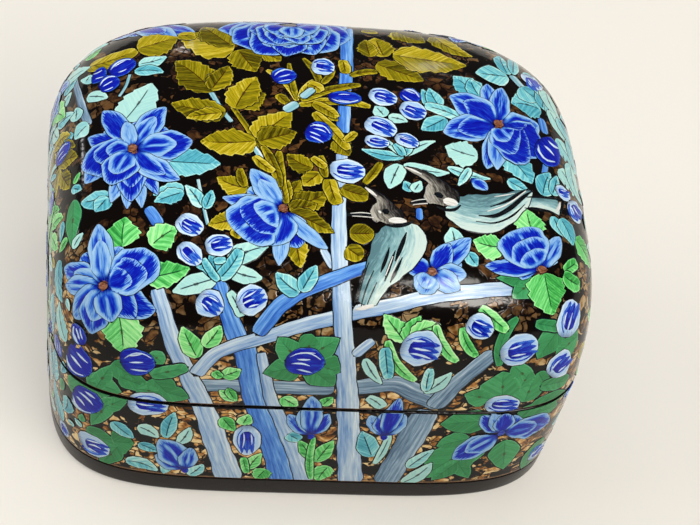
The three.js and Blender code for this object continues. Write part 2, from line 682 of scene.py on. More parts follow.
def lift_rows(film, rows, needs, length, step_up, bare, luck):
    """Adds rows to a film, lifted over what is below. Gives the points' numbers, and places with heights."""
    made, laid = [], []
    for row, lifts in zip(rows, needs):
        corners = []
        for (place, out, kind, u, along, aside, inner, full), under in zip(row, lifts):
            lift = -dip
            if kind != "rim":
                lift = under + step_up + film_swell * min(1, full / 2) * (1 - (aside / full) ** 2)
                if u >= bare:
                    laid.append((place, lift))
            edge = max(0.0, min(inner - abs(aside), length - along, along))
            across = 0.5 + max(-0.5, min(0.5, aside / (2 * inner)))
            corners.append(film.add_point(place + out * lift, u, across, along, aside, edge, luck))
        made.append(corners)
    return made, laid


def join_rows(film, start, made, end, paint, around_it):
    """The faces of a stroke: a fan at each end, its upper side, and a band that closes it below."""
    last = len(made[0]) - 1
    for left, right in zip(made[0], made[0][1:]):
        film.add_face((start, left, right), around_it)
    for step, (row, after) in enumerate(zip(made, made[1:])):
        beyond = around_it != paint and (step < 2 or step > len(made) - 4)
        for spot in range(last):
            at_side = spot < 2 or spot > last - 3
            corners = (row[spot], after[spot], after[spot + 1], row[spot + 1])
            film.add_face(corners, around_it if beyond or at_side else paint)
        film.add_face((row[0], row[-1], after[-1], after[0]), around_it)
    for left, right in zip(made[-1], made[-1][1:]):
        film.add_face((left, end, right), around_it)
    film.add_face((start, made[0][-1], made[0][0]), around_it)
    film.add_face((made[-1][0], made[-1][-1], end), around_it)


# %% [markdown]
# With these a stroke is laid from a few points of its middle line and a formula for its half width.

# %% Laying a stroke


def stroke(film, points, half_width, paint, step_up=paint_step, teeth=0, line=0.0, bare=0.0, level=None):
    """Lays one stroke on a film and gives the heights of its points. half_width(u, side) is in millimetres,
    for u from 0 at the start to 1 at the tip. A level, where given, is the height that it lies on."""
    luck = chance.random()
    length = path_length(points)
    places = [u * length for u in stations_of(length, teeth)]
    widest = max(half_width(along / length, 1) for along in places)
    if line:
        places = [-line, -line / 2, *places, length + line / 2, length + line]
        points = lengthened(points, length, line)
    path = smooth_line(points, [(along + line) / (length + 2 * line) for along in places])
    rows = rows_of(path, places, length, half_width, spots_across(widest, line), line)
    needs = [[height_at(point[0]) if level is None else level for point in row] for row in rows]
    if level is None and any(map(any, needs)):
        needs = evened(needs)
    start_place, start_normal = lay(path[0])
    end_place, end_normal = lay(path[-1])
    start = film.add_point(start_place - start_normal * dip, 0, 0.5, 0, 0, 0, luck)
    made, laid = lift_rows(film, rows, needs, length, step_up, bare, luck)
    end = film.add_point(end_place - end_normal * dip, 1, 0.5, length, 0, 0, luck)
    join_rows(film, start, made, end, paint, "outline" if line else paint)
    return laid


# %% [markdown]
# Brush marks have a few outlines. A leaf is widest before its middle and pointed, a petal is widest near its
# tip and round there, a bud is even, and a bough keeps its width and ends bluntly. Each is a formula for the
# half width, and teeth make a leaf's edge saw-like.

# %% The outlines of brush marks
tooth_bite = 0.2
tooth_shift = 0.4
any_turn = 6.3


def unsteady(amount, waves):
    """A factor near 1 that wanders along a mark, on each side in its own way, as a hand does."""
    starts = {side: (chance.uniform(0, any_turn), chance.uniform(0, any_turn)) for side in (-1, 1)}

    def factor(u, side):
        slow, quick = starts[side]
        return 1 + amount * (0.6 * math.sin(waves * u + slow) + 0.4 * math.sin(2.7 * waves * u + quick))

    return factor


def tapered(width, start_power, end_power, teeth, waver):
    """Half widths of a mark that is widest at a place set by the two powers."""
    peak = start_power / (start_power + end_power)
    top = peak ** start_power * (1 - peak) ** end_power
    hand = unsteady(waver, 5.5)

    def half_width(u, side):
        u = min(1.0, max(0.0, u))
        full = width / 2 * (u ** start_power) * ((1 - u) ** end_power) / top * hand(u, side)
        if teeth:
            full *= 1 - tooth_bite * ((u * teeth + (tooth_shift if side > 0 else 0)) % 1.0)
        return full

    return half_width


def blunt(start_width, end_width, length, waver):
    """Half widths of a mark with round ends."""
    hand = unsteady(waver, length / 2.5)

    def half_width(u, side):
        half = (start_width + (end_width - start_width) * u) / 2 * hand(u, side)
        from_end = min(u, 1 - u) * length
        if from_end < half:
            half *= math.sqrt(max(0.0, 1 - (1 - from_end / half) ** 2))
        return half

    return half_width


# Start power, end power and waver of each kind of mark
marks_of = {
    "leaf": (0.62, 0.95, 0.12),
    "petal": (0.72, 0.5, 0.14),
    "sharp petal": (0.78, 0.82, 0.14),
    "bud": (0.5, 0.58, 0.1),
    "finger": (0.28, 0.3, 0.12),
}

# %% [markdown]
# The paints go on in films, from the boughs up to the birds. Each film is one piece per body in the end, and
# the name of a paint says which film it belongs to.

# %% The films and their paints
film_paints = {
    "boughs": ["pale_bough", "blue_bough", "grey_bough", "twig"],
    "leaves": ["olive", "spring_green", "aqua", "deep_green"],
    "petals": ["petal", "bud_pale", "bud_blue", "heart"],
    "birds": ["bird_back", "bird_head", "bird_white", "bird_line"],
}
film_of = {}
for film_name, paint_names in film_paints.items():
    film = Film(film_name, [*paint_names, "outline"])
    for paint_name in paint_names:
        film_of[paint_name] = film
print("films", list(films))

# %% [markdown]
# Most marks have a thin dark line round them. A mark is given by its start and its tip in whatever way a
# place is found, by its width in millimetres, and by how far its middle is bent to one side. The foot of a
# petal isn't counted among the heights, because the next petals all start there.

# %% Marks with their outlines
line_width = 0.34
petal_foot = 0.22
photo_pixels_per_mm = 4.1


def bent_line(place, start, tip, bend):
    (x0, y0), (x1, y1) = start, tip
    points = []
    for u in (0, 0.25, 0.5, 0.75, 1):
        off = bend * 4 * u * (1 - u)
        points.append(place(x0 + (x1 - x0) * u - (y1 - y0) * off, y0 + (y1 - y0) * u + (x1 - x0) * off))
    return points


def draw(points, half_width, paint, teeth=0, line=line_width, bare=0.0):
    """Lays a mark along points on top of what is there, with its dark line round it."""
    raise_paint(stroke(film_of[paint], points, half_width, paint, paint_step, teeth, line, bare))


# %% [markdown]
# Some marks have to know what is below them, and how much of their width the photograph shows where the box
# turns away.

# %% What lies under a mark
probe_along = 0.8
probe_across = 0.7
least_seen = 0.5


def cells_under(points, half_width):
    """The cells that a mark would cover."""
    count = max(4, round(path_length(points) / probe_along))
    places = [(step + 0.5) / count for step in range(count)]
    line = smooth_line(points, places)
    cells = set()
    for step, (u, middle) in enumerate(zip(places, line)):
        centre, normal = lay(middle)
        forward = line[min(step + 1, count - 1)] - line[max(step - 1, 0)]
        sideways = normal.cross(forward).normalized()
        for side in (-1, 1):
            wide = half_width(u, side)
            parts = max(1, round(wide / probe_across))
            for part in range(parts + 1):
                cells.add(cell_of(lay(centre + sideways * (side * wide * part / parts))[0]))
    return cells


def seen_share(points):
    """How much of a mark's width the photograph shows where the box turns away from the lens."""
    middle, normal = lay(points[len(points) // 2])
    forward = (points[-1] - points[0]).normalized()
    sideways = normal.cross(forward).normalized()
    way = (middle - camera_at).normalized()
    seen_forward = (forward - way * forward.dot(way)).normalized()
    seen_sideways = sideways - way * sideways.dot(way)
    across = seen_sideways - seen_forward * seen_sideways.dot(seen_forward)
    return max(least_seen, across.length)


# %% [markdown]
# A mark is one stroke of some kind. Where leaves run together, all their lines are laid first and the paint
# after them.

# %% Single marks and masses


def shaped(place, kind, start, tip, width, bend=0.0, teeth=0):
    """The middle line and the half widths of a mark of some kind."""
    points = bent_line(place, start, tip, bend)
    if place is in_photo:
        width /= seen_share(points)
    start_power, end_power, waver = marks_of[kind]
    return points, tapered(width, start_power, end_power, teeth, waver)


def mark(place, kind, start, tip, width, paint, bend=0.0, teeth=0, line=line_width):
    points, half_width = shaped(place, kind, start, tip, width, bend, teeth)
    draw(points, half_width, paint, teeth, line, petal_foot if "petal" in kind else 0.0)


def mass(place, paint, rows):
    """Marks that run together into one shape: all their lines are laid first, and then all the paint."""
    shapes = []
    for kind, x0, y0, x1, y1, width, bend in rows:
        shapes.append(shaped(place, kind, (x0, y0), (x1, y1), width, bend))
    cells = set()
    for points, half_width in shapes:
        cells |= cells_under(points, half_width)
    level = max((heights.get(cell, 0.0) for cell in cells), default=0.0)
    for points, half_width in shapes:
        stroke(film_of[paint], points, half_width, "outline", line=line_width, level=level)
    laid = []
    for points, half_width in shapes:
        laid += stroke(film_of[paint], points, half_width, paint, 2 * paint_step, level=level)
    raise_paint(laid)


def between(start, tip, share, aside=0.0):
    """A place on the way from start to tip, and a share of the way off to one side."""
    (x0, y0), (x1, y1) = start, tip
    return x0 + (x1 - x0) * share - (y1 - y0) * aside, y0 + (y1 - y0) * share + (x1 - x0) * aside


def turned(start, reach, angle):
    """The place at a reach from start, in the direction of an angle."""
    return start[0] + reach * math.cos(angle), start[1] + reach * math.sin(angle)


def pixels_of(place):
    """How many of a place's units make a millimetre: pixels in the photograph, millimetres on a side."""
    return photo_pixels_per_mm if place is in_photo else 1.0


# %% [markdown]
# The motifs. A petal is one mark, and a big one has a second and a third inside it, as the painter nests pale
# edges to make a cup. A blossom is its petals in turn and a brown heart with a few dabs, and a small petal
# fills each gap between two that stand apart.

# %% Petals and blossoms
petal_start = 0.07
inner_reach = 0.74
inner_reach_step = 0.27
inner_width = 0.78
inner_width_step = 0.24
petal_line = 0.26
inner_petal_line = 0.1
narrowest_gap = 0.35
broadest_gap = 1.1
gap_petal_reach = 0.36
gap_petal_width = 8
any_way = 6.28


def petal(place, heart, tip, width, bend=0.0, nested=0):
    start = between(heart, tip, petal_start)
    kind = "petal" if nested > 1 else "sharp petal"
    mark(place, kind, start, tip, width, "petal", bend, line=petal_line)
    for inside in range(nested):
        inner_tip = between(heart, tip, inner_reach - inner_reach_step * inside, bend * 0.8)
        slimmer = width * (inner_width - inner_width_step * inside)
        mark(place, kind, start, inner_tip, slimmer, "petal", bend, line=inner_petal_line)


def blossom(place, heart, petals, size):
    """petals: (tip x, tip y, width, bend, nested) in the order they are painted; a row may leave out bend and
    nested where they are nought."""
    x, y = heart
    ways = [(tip[0] - x, tip[1] - y) for tip in petals]
    turns = sorted((math.atan2(up, right), math.hypot(right, up)) for right, up in ways)
    turns.append((turns[0][0] + 2 * math.pi, turns[0][1]))
    for (turn, reach), (next_turn, next_reach) in zip(turns, turns[1:]):
        gap, length = next_turn - turn, gap_petal_reach * (reach + next_reach)
        if narrowest_gap < gap < broadest_gap:
            tip = turned(heart, length, (turn + next_turn) / 2)
            petal(place, heart, tip, min(gap_petal_width, gap * length / pixels_of(place)))
    for tip_x, tip_y, width, bend, nested in [(*row, 0, 0)[:5] for row in petals]:
        petal(place, heart, (tip_x, tip_y), width, bend, nested)
    reach = size * pixels_of(place)
    if size > 1:
        for dab in range(5):
            dab_tip = turned(heart, reach * 0.62, chance.uniform(0, any_way))
            mark(place, "bud", heart, dab_tip, size * 0.42, "heart", line=0)
        mark(place, "bud", (x - reach / 2, y), (x + reach / 2, y), size * 0.8, "heart", line=0.25)
    elif size:
        mark(place, "bud", (x - reach, y), (x + reach, y), size * 1.7, "bud_blue", line=0)


# %% [markdown]
# A bud is an oval with fine hairs and often a curved line along one side, and a pale one has a dark heart.

# %% Buds


def bud(place, middle, length, width, turn=0.0, touches=2):
    """An oval: length and width in millimetres, turned by degrees. A pale bud has a dark heart, and both
    kinds have hairs in the other blue. A count of touches below nought stands for a dark bud."""
    half = length * pixels_of(place) / 2
    angle = math.radians(turn)
    start, tip = turned(middle, -half, angle), turned(middle, half, angle)
    base, touch_paint = ("bud_pale", "bud_blue") if touches > 0 else ("bud_blue", "bud_pale")
    mark(place, "bud", start, tip, width, base)
    slim = width / length
    hairs = abs(touches) + 1
    heart_width = 0.8
    if touches > 0:
        heart_width = 0.56
        heart_ends = between(start, tip, 0.2), between(start, tip, 0.84)
        mark(place, "bud", *heart_ends, width * 0.6, "bud_blue", line=0)
        for edge in (-1, 0, 1):
            foot = between(start, tip, 0.42, edge * 0.16 * slim)
            point = between(start, tip, 0.95, edge * 0.2 * slim)
            mark(place, "sharp petal", foot, point, width * 0.2, "bud_blue", line=0)
    for hair in range(hairs):
        off = (hair - (hairs - 1) / 2) * heart_width * slim / hairs
        from_here = between(start, tip, chance.uniform(0.12, 0.3), off)
        to_there = between(start, tip, chance.uniform(0.58, 0.8), off * 1.3)
        bend = chance.uniform(-0.08, 0.08)
        mark(place, "sharp petal", from_here, to_there, width * 0.08, "bud_pale", bend, line=0)
    if length > 5:
        edge = chance.choice((-1, 1)) * 0.29 * slim
        ends = between(start, tip, 0.1, edge * 0.5), between(start, tip, 0.9, edge * 0.5)
        mark(place, "finger", *ends, 0.34, touch_paint, edge, line=0)


# %% [markdown]
# A bough keeps its width and wavers a little. A flower is a whole blossom with leaves under it, an iris has
# four slim petals and two leaves, and a sprig carries two buds.

# %% Boughs, flowers and sprigs
bough_waver = 0.08
heart_size = 2.2
iris_heart_size = 0.9
leaf_turn = 1.26


def bough(place, points, start_width, end_width, paint):
    path = [place(x, y) for x, y in points]
    share = seen_share(path) if place is in_photo else 1
    draw(path, blunt(start_width / share, end_width / share, path_length(path), bough_waver), paint)


def flower(place, x, y, reach, leaves=5):
    """A whole blossom from a few numbers, with its leaves under it."""
    turn = chance.uniform(0, any_turn)
    for leaf in range(leaves):
        way = turn + leaf_turn * leaf + chance.uniform(-0.2, 0.2)
        paint = chance.choice(("aqua", "spring_green", "aqua"))
        start, tip = turned((x, y), 0.6 * reach, way), turned((x, y), 1.5 * reach, way)
        mark(place, "leaf", start, tip, 0.5 * reach, paint, chance.uniform(-0.1, 0.1), 5)
    petals = []
    for step in (0, 4, 2, 6, 1, 5, 3, 7):
        way = turn + math.pi / 4 * step + chance.uniform(-0.12, 0.12)
        tip = turned((x, y), reach * chance.uniform(0.8, 1.1), way)
        petals.append((*tip, reach * chance.uniform(0.38, 0.52), chance.uniform(-0.06, 0.06), step % 2))
    petals.append((*turned((x, y), 0.84 * reach, turn + 3.9), 0.76 * reach, 0.08, 2))
    blossom(place, (x, y), petals, heart_size)


def iris(place, x, y, reach, way):
    for side in (-1, 1):
        tip = turned((x, y), 0.8 * reach, -way + side * 2.2)
        mark(place, "leaf", (x, y), tip, 0.36 * reach, "deep_green")
    petals = [(*turned((x, y), reach, way + side), 0.42 * reach, 0, 0) for side in (-0.9, 0.9, -0.35, 0.4)]
    blossom(place, (x, y), petals, iris_heart_size)


def sprig(place, x, y, way, reach):
    for side in (-0.8, 0.1, 0.9):
        tip = turned((x, y), 0.75 * reach, way + side * 0.6)
        mark(place, "finger", (x, y), tip, 1.5, "aqua", 0.1 * side)
    for side in (-0.75, 0.75):
        middle = turned((x, y), reach, way + side)
        bud(place, middle, 0.78 * reach, 0.6 * reach, math.degrees(way + side), chance.choice((1, 2, -2)))


# %% [markdown]
# A spray is a stem with leaves in pairs, and a cluster is broad leaves round a bud. A patch fills the shape
# between two edges, which is how the birds are painted.

# %% Sprays, clusters and patches
end_roundness = 22


def spray(place, start, tip, paint, length, width, teeth=0):
    """A stem with leaves in pairs along it and one more at its tip."""
    way = math.atan2(tip[1] - start[1], tip[0] - start[0])
    bough(place, [start, between(start, tip, 0.5, 0.05), tip], 1.1, 0.7, paint)
    pairs = max(1, round(math.dist(start, tip) / (0.95 * width)))
    for pair in range(pairs):
        foot = between(start, tip, (pair + 0.4) / pairs, 0.04)
        for side in (-1, 1):
            end = turned(foot, length * chance.uniform(0.8, 1.1), way + side * chance.uniform(0.75, 1.05))
            mark(place, "leaf", foot, end, width * chance.uniform(0.85, 1.1), paint, side * 0.12, teeth)
    mark(place, "leaf", tip, turned(tip, length, way), width, paint, 0, teeth)


def cluster(place, x, y, reach):
    """Broad leaves that run together round a bud."""
    turn = chance.uniform(0, any_turn)
    rows = []
    leaves = chance.choice((4, 5, 6))
    for leaf in range(leaves):
        way = turn + any_way / leaves * leaf + chance.uniform(-0.35, 0.35)
        foot = turned((x, y), reach * chance.uniform(0, 0.4), chance.uniform(0, any_way))
        tip = turned((x, y), reach * chance.uniform(0.7, 1.4), way)
        rows.append(("leaf", *foot, *tip, reach * chance.uniform(0.5, 0.95), chance.uniform(-0.15, 0.15)))
    mass(place, "deep_green", rows)
    bud(place, (x, y), 0.85 * reach, 0.62 * reach, chance.uniform(-50, 50), chance.choice((2, -2, 1)))


def patch(place, left, right, paint):
    """Fills the shape between two edges, which are given as points from start to tip. Its ends are rounded
    off over a small share of the length."""
    edges = [(place(*a), place(*b)) for a, b in zip(left, right)]
    path = [(a + b) / 2 for a, b in edges]
    halves = [(a - b).length / 2 for a, b in edges]
    gone = [0.0]
    for before, after in zip(path, path[1:]):
        gone.append(gone[-1] + (after - before).length)

    def half_width(u, side):
        way = u * gone[-1]
        spot = max(index for index in range(len(path) - 1) if gone[index] <= way or index == 0)
        part = min(1.0, (way - gone[spot]) / max(1e-6, gone[spot + 1] - gone[spot]))
        part = part * part * (3 - 2 * part)
        half = halves[spot] * (1 - part) + halves[spot + 1] * part
        return half * min(1.0, math.sqrt(max(0.0, min(u, 1 - u) * end_roundness)))

    draw(path, half_width, paint)


# %% [markdown]
# The materials are built from the three maps of a stroke and from noise, so they follow each brush mark. A
# colour is written the way it looks on a screen. Everything is under one coat of gloss varnish.

# %% Helpers for materials


def colour(text):
    """A colour written in six hexadecimal digits, as Blender's linear values."""
    values = [int(text[spot:spot + 2], 16) / 255 for spot in (0, 2, 4)]
    linear = [value / 12.92 if value <= 0.04045 else ((value + 0.055) / 1.055) ** 2.4 for value in values]
    return (*linear, 1)


class Nodes:
    """The nodes of a material or of a node group, added one at a time."""

    def __init__(self, tree):
        self.tree = tree

    def put(self, socket, value):
        if isinstance(value, bpy.types.NodeSocket):
            self.tree.links.new(value, socket)
        else:
            socket.default_value = value

    def add(self, kind, inputs=None, out=0, **settings):
        node = self.tree.nodes.new("ShaderNode" + kind)
        for name, value in settings.items():
            setattr(node, name, value)
        for socket, value in (inputs or {}).items():
            self.put(node.inputs[socket], value)
        return node.outputs[out]

    def maths(self, operation, first, second=0.0):
        return self.add("Math", {0: first, 1: second}, operation=operation)

    def plus(self, first, second):
        return self.maths("ADD", first, second)

    def times(self, first, second):
        return self.maths("MULTIPLY", first, second)

    def step(self, value, low, high):
        """0 below low and 1 above high, and the other way round where low is the greater."""
        limits = {"Value": value, "From Min": low, "From Max": high}
        return self.add("MapRange", limits, interpolation_type="SMOOTHSTEP")

    def map_of(self, name):
        """The two numbers that a map keeps at each point."""
        both = self.add("SeparateXYZ", {0: self.add("UVMap", uv_map=name)}).node
        return both.outputs[0], both.outputs[1]

    def noise(self, vector, scale=1.0, detail=2.0, distortion=0.0):
        inputs = {"Vector": vector, "Scale": scale, "Detail": detail, "Distortion": distortion}
        return self.add("TexNoise", inputs)

    def around(self, value, amount):
        """A noise from 0 to 1 turned into a push of amount to either side of nothing."""
        return self.times(self.plus(value, -0.5), amount)

    def ramp(self, value, stops):
        ramp = self.add("ValToRGB", {0: value}).node
        steps = ramp.color_ramp.elements
        while len(steps) < len(stops):
            steps.new(0.5)
        for step, (place, text) in zip(steps, stops):
            step.position = place
            step.color = colour(text)
        return ramp.outputs[0]

    def mix(self, factor, first, second):
        return self.add("Mix", {0: factor, 6: first, 7: second}, out=2, data_type="RGBA")


class Group(Nodes):
    """A node group with named numbers going in and one named number coming out."""

    def __init__(self, name, inputs, output):
        super().__init__(bpy.data.node_groups.new(name, "ShaderNodeTree"))
        for socket in inputs:
            self.tree.interface.new_socket(socket, in_out="INPUT", socket_type="NodeSocketFloat")
        self.tree.interface.new_socket(output, in_out="OUTPUT", socket_type="NodeSocketFloat")
        self.given = self.tree.nodes.new("NodeGroupInput").outputs
        self.result = self.tree.nodes.new("NodeGroupOutput").inputs[output]


# %% [markdown]
# Two effects are in most of the finishes, so each is a node group. Brush streaks are a noise drawn out
# along a stroke, and the seed makes every stroke's streaks its own. The gloss ripple is the height of the
# varnish: long ripples, fine grain, and a share of the brush work that it covers.

# %% Brush streaks and gloss ripple


def make_brush_streaks():
    g = Group("brush_streaks", ["Along", "Across", "Seed", "Along Scale", "Across Scale", "Detail"], "Value")
    along = g.times(g.given["Along"], g.given["Along Scale"])
    across = g.times(g.given["Across"], g.given["Across Scale"])
    vector = g.add("CombineXYZ", {0: along, 1: across, 2: g.given["Seed"]})
    g.put(g.result, g.noise(vector, detail=g.given["Detail"]))
    return g.tree


def make_gloss_ripple():
    g = Group("gloss_ripple", ["Relief"], "Height")
    place = g.add("TexCoord", out=3)
    height = g.times(g.noise(place, 420, 1), 0.7)
    height = g.plus(height, g.times(g.noise(place, 1500, 1), 0.12))
    g.put(g.result, g.plus(height, g.times(g.given["Relief"], 0.3)))
    return g.tree


brush_streaks = make_brush_streaks()
gloss_ripple = make_gloss_ripple()
specular = 0.15


class Recipe(Nodes):
    """The nodes of one material."""

    def __init__(self, name):
        self.material = bpy.data.materials.new(name)
        self.material.use_nodes = True
        super().__init__(self.material.node_tree)
        self.shader = self.tree.nodes["Principled BSDF"]

    def streaks(self, along, across, seed, along_scale, across_scale, detail=2.0):
        values = {"Along": along, "Across": across, "Seed": seed, "Detail": detail}
        values |= {"Along Scale": along_scale, "Across Scale": across_scale}
        return self.add("Group", values, node_tree=brush_streaks)

    def finish(self, base, relief, ripple=0.05, roughness=0.1):
        """Paint under gloss varnish; relief is a height of the brush work, from 0 to 1."""
        height = self.add("Group", {"Relief": relief}, node_tree=gloss_ripple)
        bump = {"Strength": 1.0, "Distance": ripple * MM, "Height": height}
        inputs = self.shader.inputs
        self.put(inputs["Normal"], self.add("Bump", bump))
        self.put(inputs["Base Color"], base)
        self.put(inputs["Roughness"], roughness)
        self.put(inputs["Specular IOR Level"], specular)
        return self.material


# %% [markdown]
# Petals and buds: a deep blue middle, combed out with a dry brush into pale strokes at the rim and the tip.
# rim, middle_streak and ground say how much of each there is.

# %% Blue paints


def blue_paint(name, stops, rim, middle_streak, ground, rim_width):
    r = Recipe(name)
    along = r.map_of("stroke")[0]
    far, aside = r.map_of("length")
    edge, luck = r.map_of("edge")
    seed = r.times(luck, 90)
    fine = r.streaks(far, aside, seed, 0.4, 4.6, 3)
    broad = r.streaks(far, aside, r.plus(seed, 5), 0.2, 1.1, 1)
    comb = r.plus(r.times(r.maths("POWER", along, 2), 6.5), 1.0)
    rim_place = r.plus(edge, r.times(r.plus(fine, -0.5), comb))
    width = r.times(r.plus(luck, 0.5), rim_width)
    pale = r.add("MapRange", {"Value": rim_place, "From Min": width, "From Max": r.times(width, 0.4)})
    pale = r.times(pale, r.step(along, 0.03, 0.25))
    off_middle = r.maths("ABSOLUTE", r.plus(aside, r.around(broad, 1.1)))
    streak = r.times(r.step(off_middle, 0.85, 0.15), r.step(r.plus(luck, r.around(fine, 0.2)), 0.3, 0.5))
    streak = r.times(streak, r.times(r.step(along, 0.1, 0.35), r.step(along, 0.98, 0.75)))
    level = r.maths("MAXIMUM", r.times(pale, rim), r.times(streak, middle_streak))
    level = r.plus(r.plus(level, ground), r.plus(r.around(fine, 0.9), r.around(broad, 0.4)))
    paint = r.ramp(level, stops)
    heart_shade = r.times(r.step(along, 0.22, 0.0), 0.55)
    paint = r.mix(heart_shade, paint, colour("0a1050"))
    return r.finish(paint, fine)


# %% [markdown]
# Leaves: two halves that differ a little, veins that slant to the tip, a light rim and a dark midrib.

# %% Leaf paints


def leaf_paint(name, stops, rib, pale=None, veined=1.0):
    r = Recipe(name)
    along = r.map_of("stroke")[0]
    far, aside = r.map_of("length")
    edge, luck = r.map_of("edge")
    seed = r.times(luck, 70)
    off_middle = r.maths("ABSOLUTE", aside)
    slant = r.plus(far, r.times(off_middle, -1.0))
    veins = r.streaks(slant, luck, seed, 1.5, 1, 1)
    fine = r.streaks(slant, aside, r.plus(seed, 9), 4.5, 1.0, 2)
    half = r.times(r.step(aside, -0.15, 0.15), r.around(r.step(luck, 0.49, 0.51), 0.5))
    rim = r.step(r.plus(edge, r.around(fine, 0.5)), 0.5, 0.08)
    level = r.plus(r.around(veins, 1.1), r.plus(r.around(fine, 0.8), half))
    level = r.plus(r.times(level, veined), r.plus(r.times(rim, 0.34), 0.46))
    paint = r.ramp(level, stops)
    if pale:
        paint = r.mix(r.times(r.step(luck, 0.55, 0.75), 0.65), paint, colour(pale))
    dot = r.maths("ABSOLUTE", r.plus(r.times(along, -1.0), 0.46))
    dot = r.times(r.step(dot, 0.07, 0.03), r.step(r.plus(off_middle, r.around(fine, 0.5)), 0.42, 0.2))
    dot = r.times(dot, r.times(r.step(luck, 0.4, 0.45), r.step(edge, 0.9, 1.3)))
    paint = r.mix(r.times(dot, 0.8), paint, colour("4c3a20"))
    on_rib = r.times(r.step(along, 0.02, 0.1), r.step(along, 0.85, 0.75))
    on_rib = r.times(r.step(off_middle, 0.2, 0.09), on_rib)
    has_rib = r.step(r.plus(edge, off_middle), 0.7, 1.1)
    return r.finish(r.mix(r.times(r.times(on_rib, has_rib), veined), paint, colour(rib)), fine)


# %% [markdown]
# Boughs: long dry streaks from root to tip, lighter on one side.

# %% Bough and bird paints


def bough_paint(name, stops, shade=0.4, along_scale=0.1, across_scale=1.6):
    r = Recipe(name)
    across = r.map_of("stroke")[1]
    far, aside = r.map_of("length")
    luck = r.map_of("edge")[1]
    seed = r.times(luck, 50)
    broad = r.streaks(far, aside, seed, along_scale, across_scale, 3)
    fine = r.streaks(far, aside, r.plus(seed, 4), along_scale * 3.5, across_scale * 3.5, 2)
    level = r.plus(r.plus(0.5, r.around(broad, 1.5)), r.plus(r.around(fine, 0.6), r.around(across, shade)))
    return r.finish(r.ramp(level, stops), fine)


# %% [markdown]
# The ground is a near-black brown, dabbed over with ragged bronze. The bronze is painted darker, dull brown
# up on the crown, as painted shade, and brighter gold with cream painted highlights towards the seam and on
# the base, as a painted sheen where the window light catches the metal. The bronze is metal powder, so its
# mask drives Metallic too.

# %% Ground and lacquer


def ground_paint():
    r = Recipe("bronze_dabbed_ground")
    place = r.add("TexCoord", out=3)
    height = r.add("SeparateXYZ", {0: place}).node.outputs[2]
    wide = r.noise(place, 35, 1)
    # low runs from 0 on the crown to 1 lower down: it makes the bronze brighter, more plentiful and more
    # metallic towards the seam and the base, a painted sheen, and leaves the crown in painted shade.
    low = r.step(r.plus(height, r.around(wide, 0.03)), 0.072, 0.042)
    worn = r.noise(place, 900, 2, 0.6)
    shake = r.add("TexNoise", {"Vector": place, "Scale": 170, "Detail": 2}, out=1)
    shake = r.add("VectorMath", {0: shake, "Scale": 0.007}, operation="SCALE")
    shaken = r.add("VectorMath", {0: place, 1: shake}, operation="ADD")
    shaken = r.add("VectorMath", {0: shaken, 1: (1.0, 1.0, 1.7)}, operation="MULTIPLY")
    cracks = r.add("TexVoronoi", {"Vector": shaken, "Scale": 290}, feature="DISTANCE_TO_EDGE")
    flake = r.add("TexVoronoi", {"Vector": shaken, "Scale": 290}, out=1)
    flake = r.add("SeparateXYZ", {0: flake}).node.outputs[0]
    dabs = r.plus(r.plus(r.noise(place, 130, 2, 1.0), r.around(flake, 0.2)), r.around(worn, 0.12))
    dabs = r.plus(dabs, r.times(low, 0.045))
    mask = r.times(r.step(dabs, 0.52, 0.55), r.step(r.plus(cracks, r.around(worn, 0.08)), 0.03, 0.09))
    fleck = r.plus(r.noise(place, 420, 2, 0.8), r.plus(r.around(worn, 0.24), r.around(flake, 0.34)))
    # Painted shade and sheen: the same bronze as a dark brown ramp for the crown and a bright gold ramp for
    # lower down, whose palest cream flecks are painted highlights.
    shaded_crown_bronze = r.ramp(fleck, [(0.3, "160d08"), (0.48, "28180e"), (0.6, "422916"), (0.72, "624222")])
    sheen_lit_bronze = r.ramp(fleck, [(0.28, "4a2e14"), (0.42, "94602e"), (0.54, "c89452"), (0.66, "f0d29a")])
    paint = r.mix(mask, r.mix(wide, colour("050303"), colour("0e0805")), r.mix(low, shaded_crown_bronze, sheen_lit_bronze))
    from_seam = r.maths("ABSOLUTE", r.plus(height, -(seam_height + 0.15) * MM))
    paint = r.mix(r.step(from_seam, 0.0013, 0.0008), paint, colour("060505"))
    at_foot = r.step(r.plus(height, r.around(worn, 0.0008)), (wall_foot + 1.1) * MM, (wall_foot + 0.5) * MM)
    paint = r.mix(at_foot, paint, colour("7c5a36"))
    over_rim = r.step(r.plus(height, r.around(worn, 0.0006)), (lid_foot + 1.0) * MM, (lid_foot + 0.6) * MM)
    over_rim = r.times(over_rim, r.step(height, seam_height * MM, (seam_height + 0.2) * MM))
    paint = r.mix(r.times(over_rim, r.step(wide, 0.5, 0.56)), paint, colour("6a4830"))
    r.put(r.shader.inputs["Metallic"], r.times(r.times(mask, low), 0.5))
    return r.finish(paint, mask, 0.07)


def lacquer(name, shade, worn_shade, roughness, wear):
    """Black lacquer brushed on by hand, with a little of the brown paper showing where it is rubbed."""
    r = Recipe(name)
    place = r.add("TexCoord", out=3)
    cloud = r.noise(place, 60, 3)
    grit = r.noise(place, 1400, 2)
    rubbed = r.times(r.step(r.plus(cloud, r.around(grit, 0.4)), 1 - wear, 1 - wear + 0.1), 0.8)
    base = r.mix(rubbed, r.mix(cloud, colour(shade), colour("2a2422")), colour(worn_shade))
    haze = r.plus(roughness - 0.06, r.times(cloud, 0.16))
    return r.finish(base, grit, roughness=r.plus(haze, r.times(rubbed, 0.3)))


# %% [markdown]
# Each paint's colours run from its darkest to its palest. The numbers after them are those of its kind: how
# much rim, middle streak and ground a blue has, the rib of a leaf, and the shade and the streaks of a
# bough.

# %% All the finishes


def stops(text, places=(0, 0.3, 0.55, 0.8, 1)):
    """Colours spaced over a ramp."""
    return list(zip(places, text.split()))


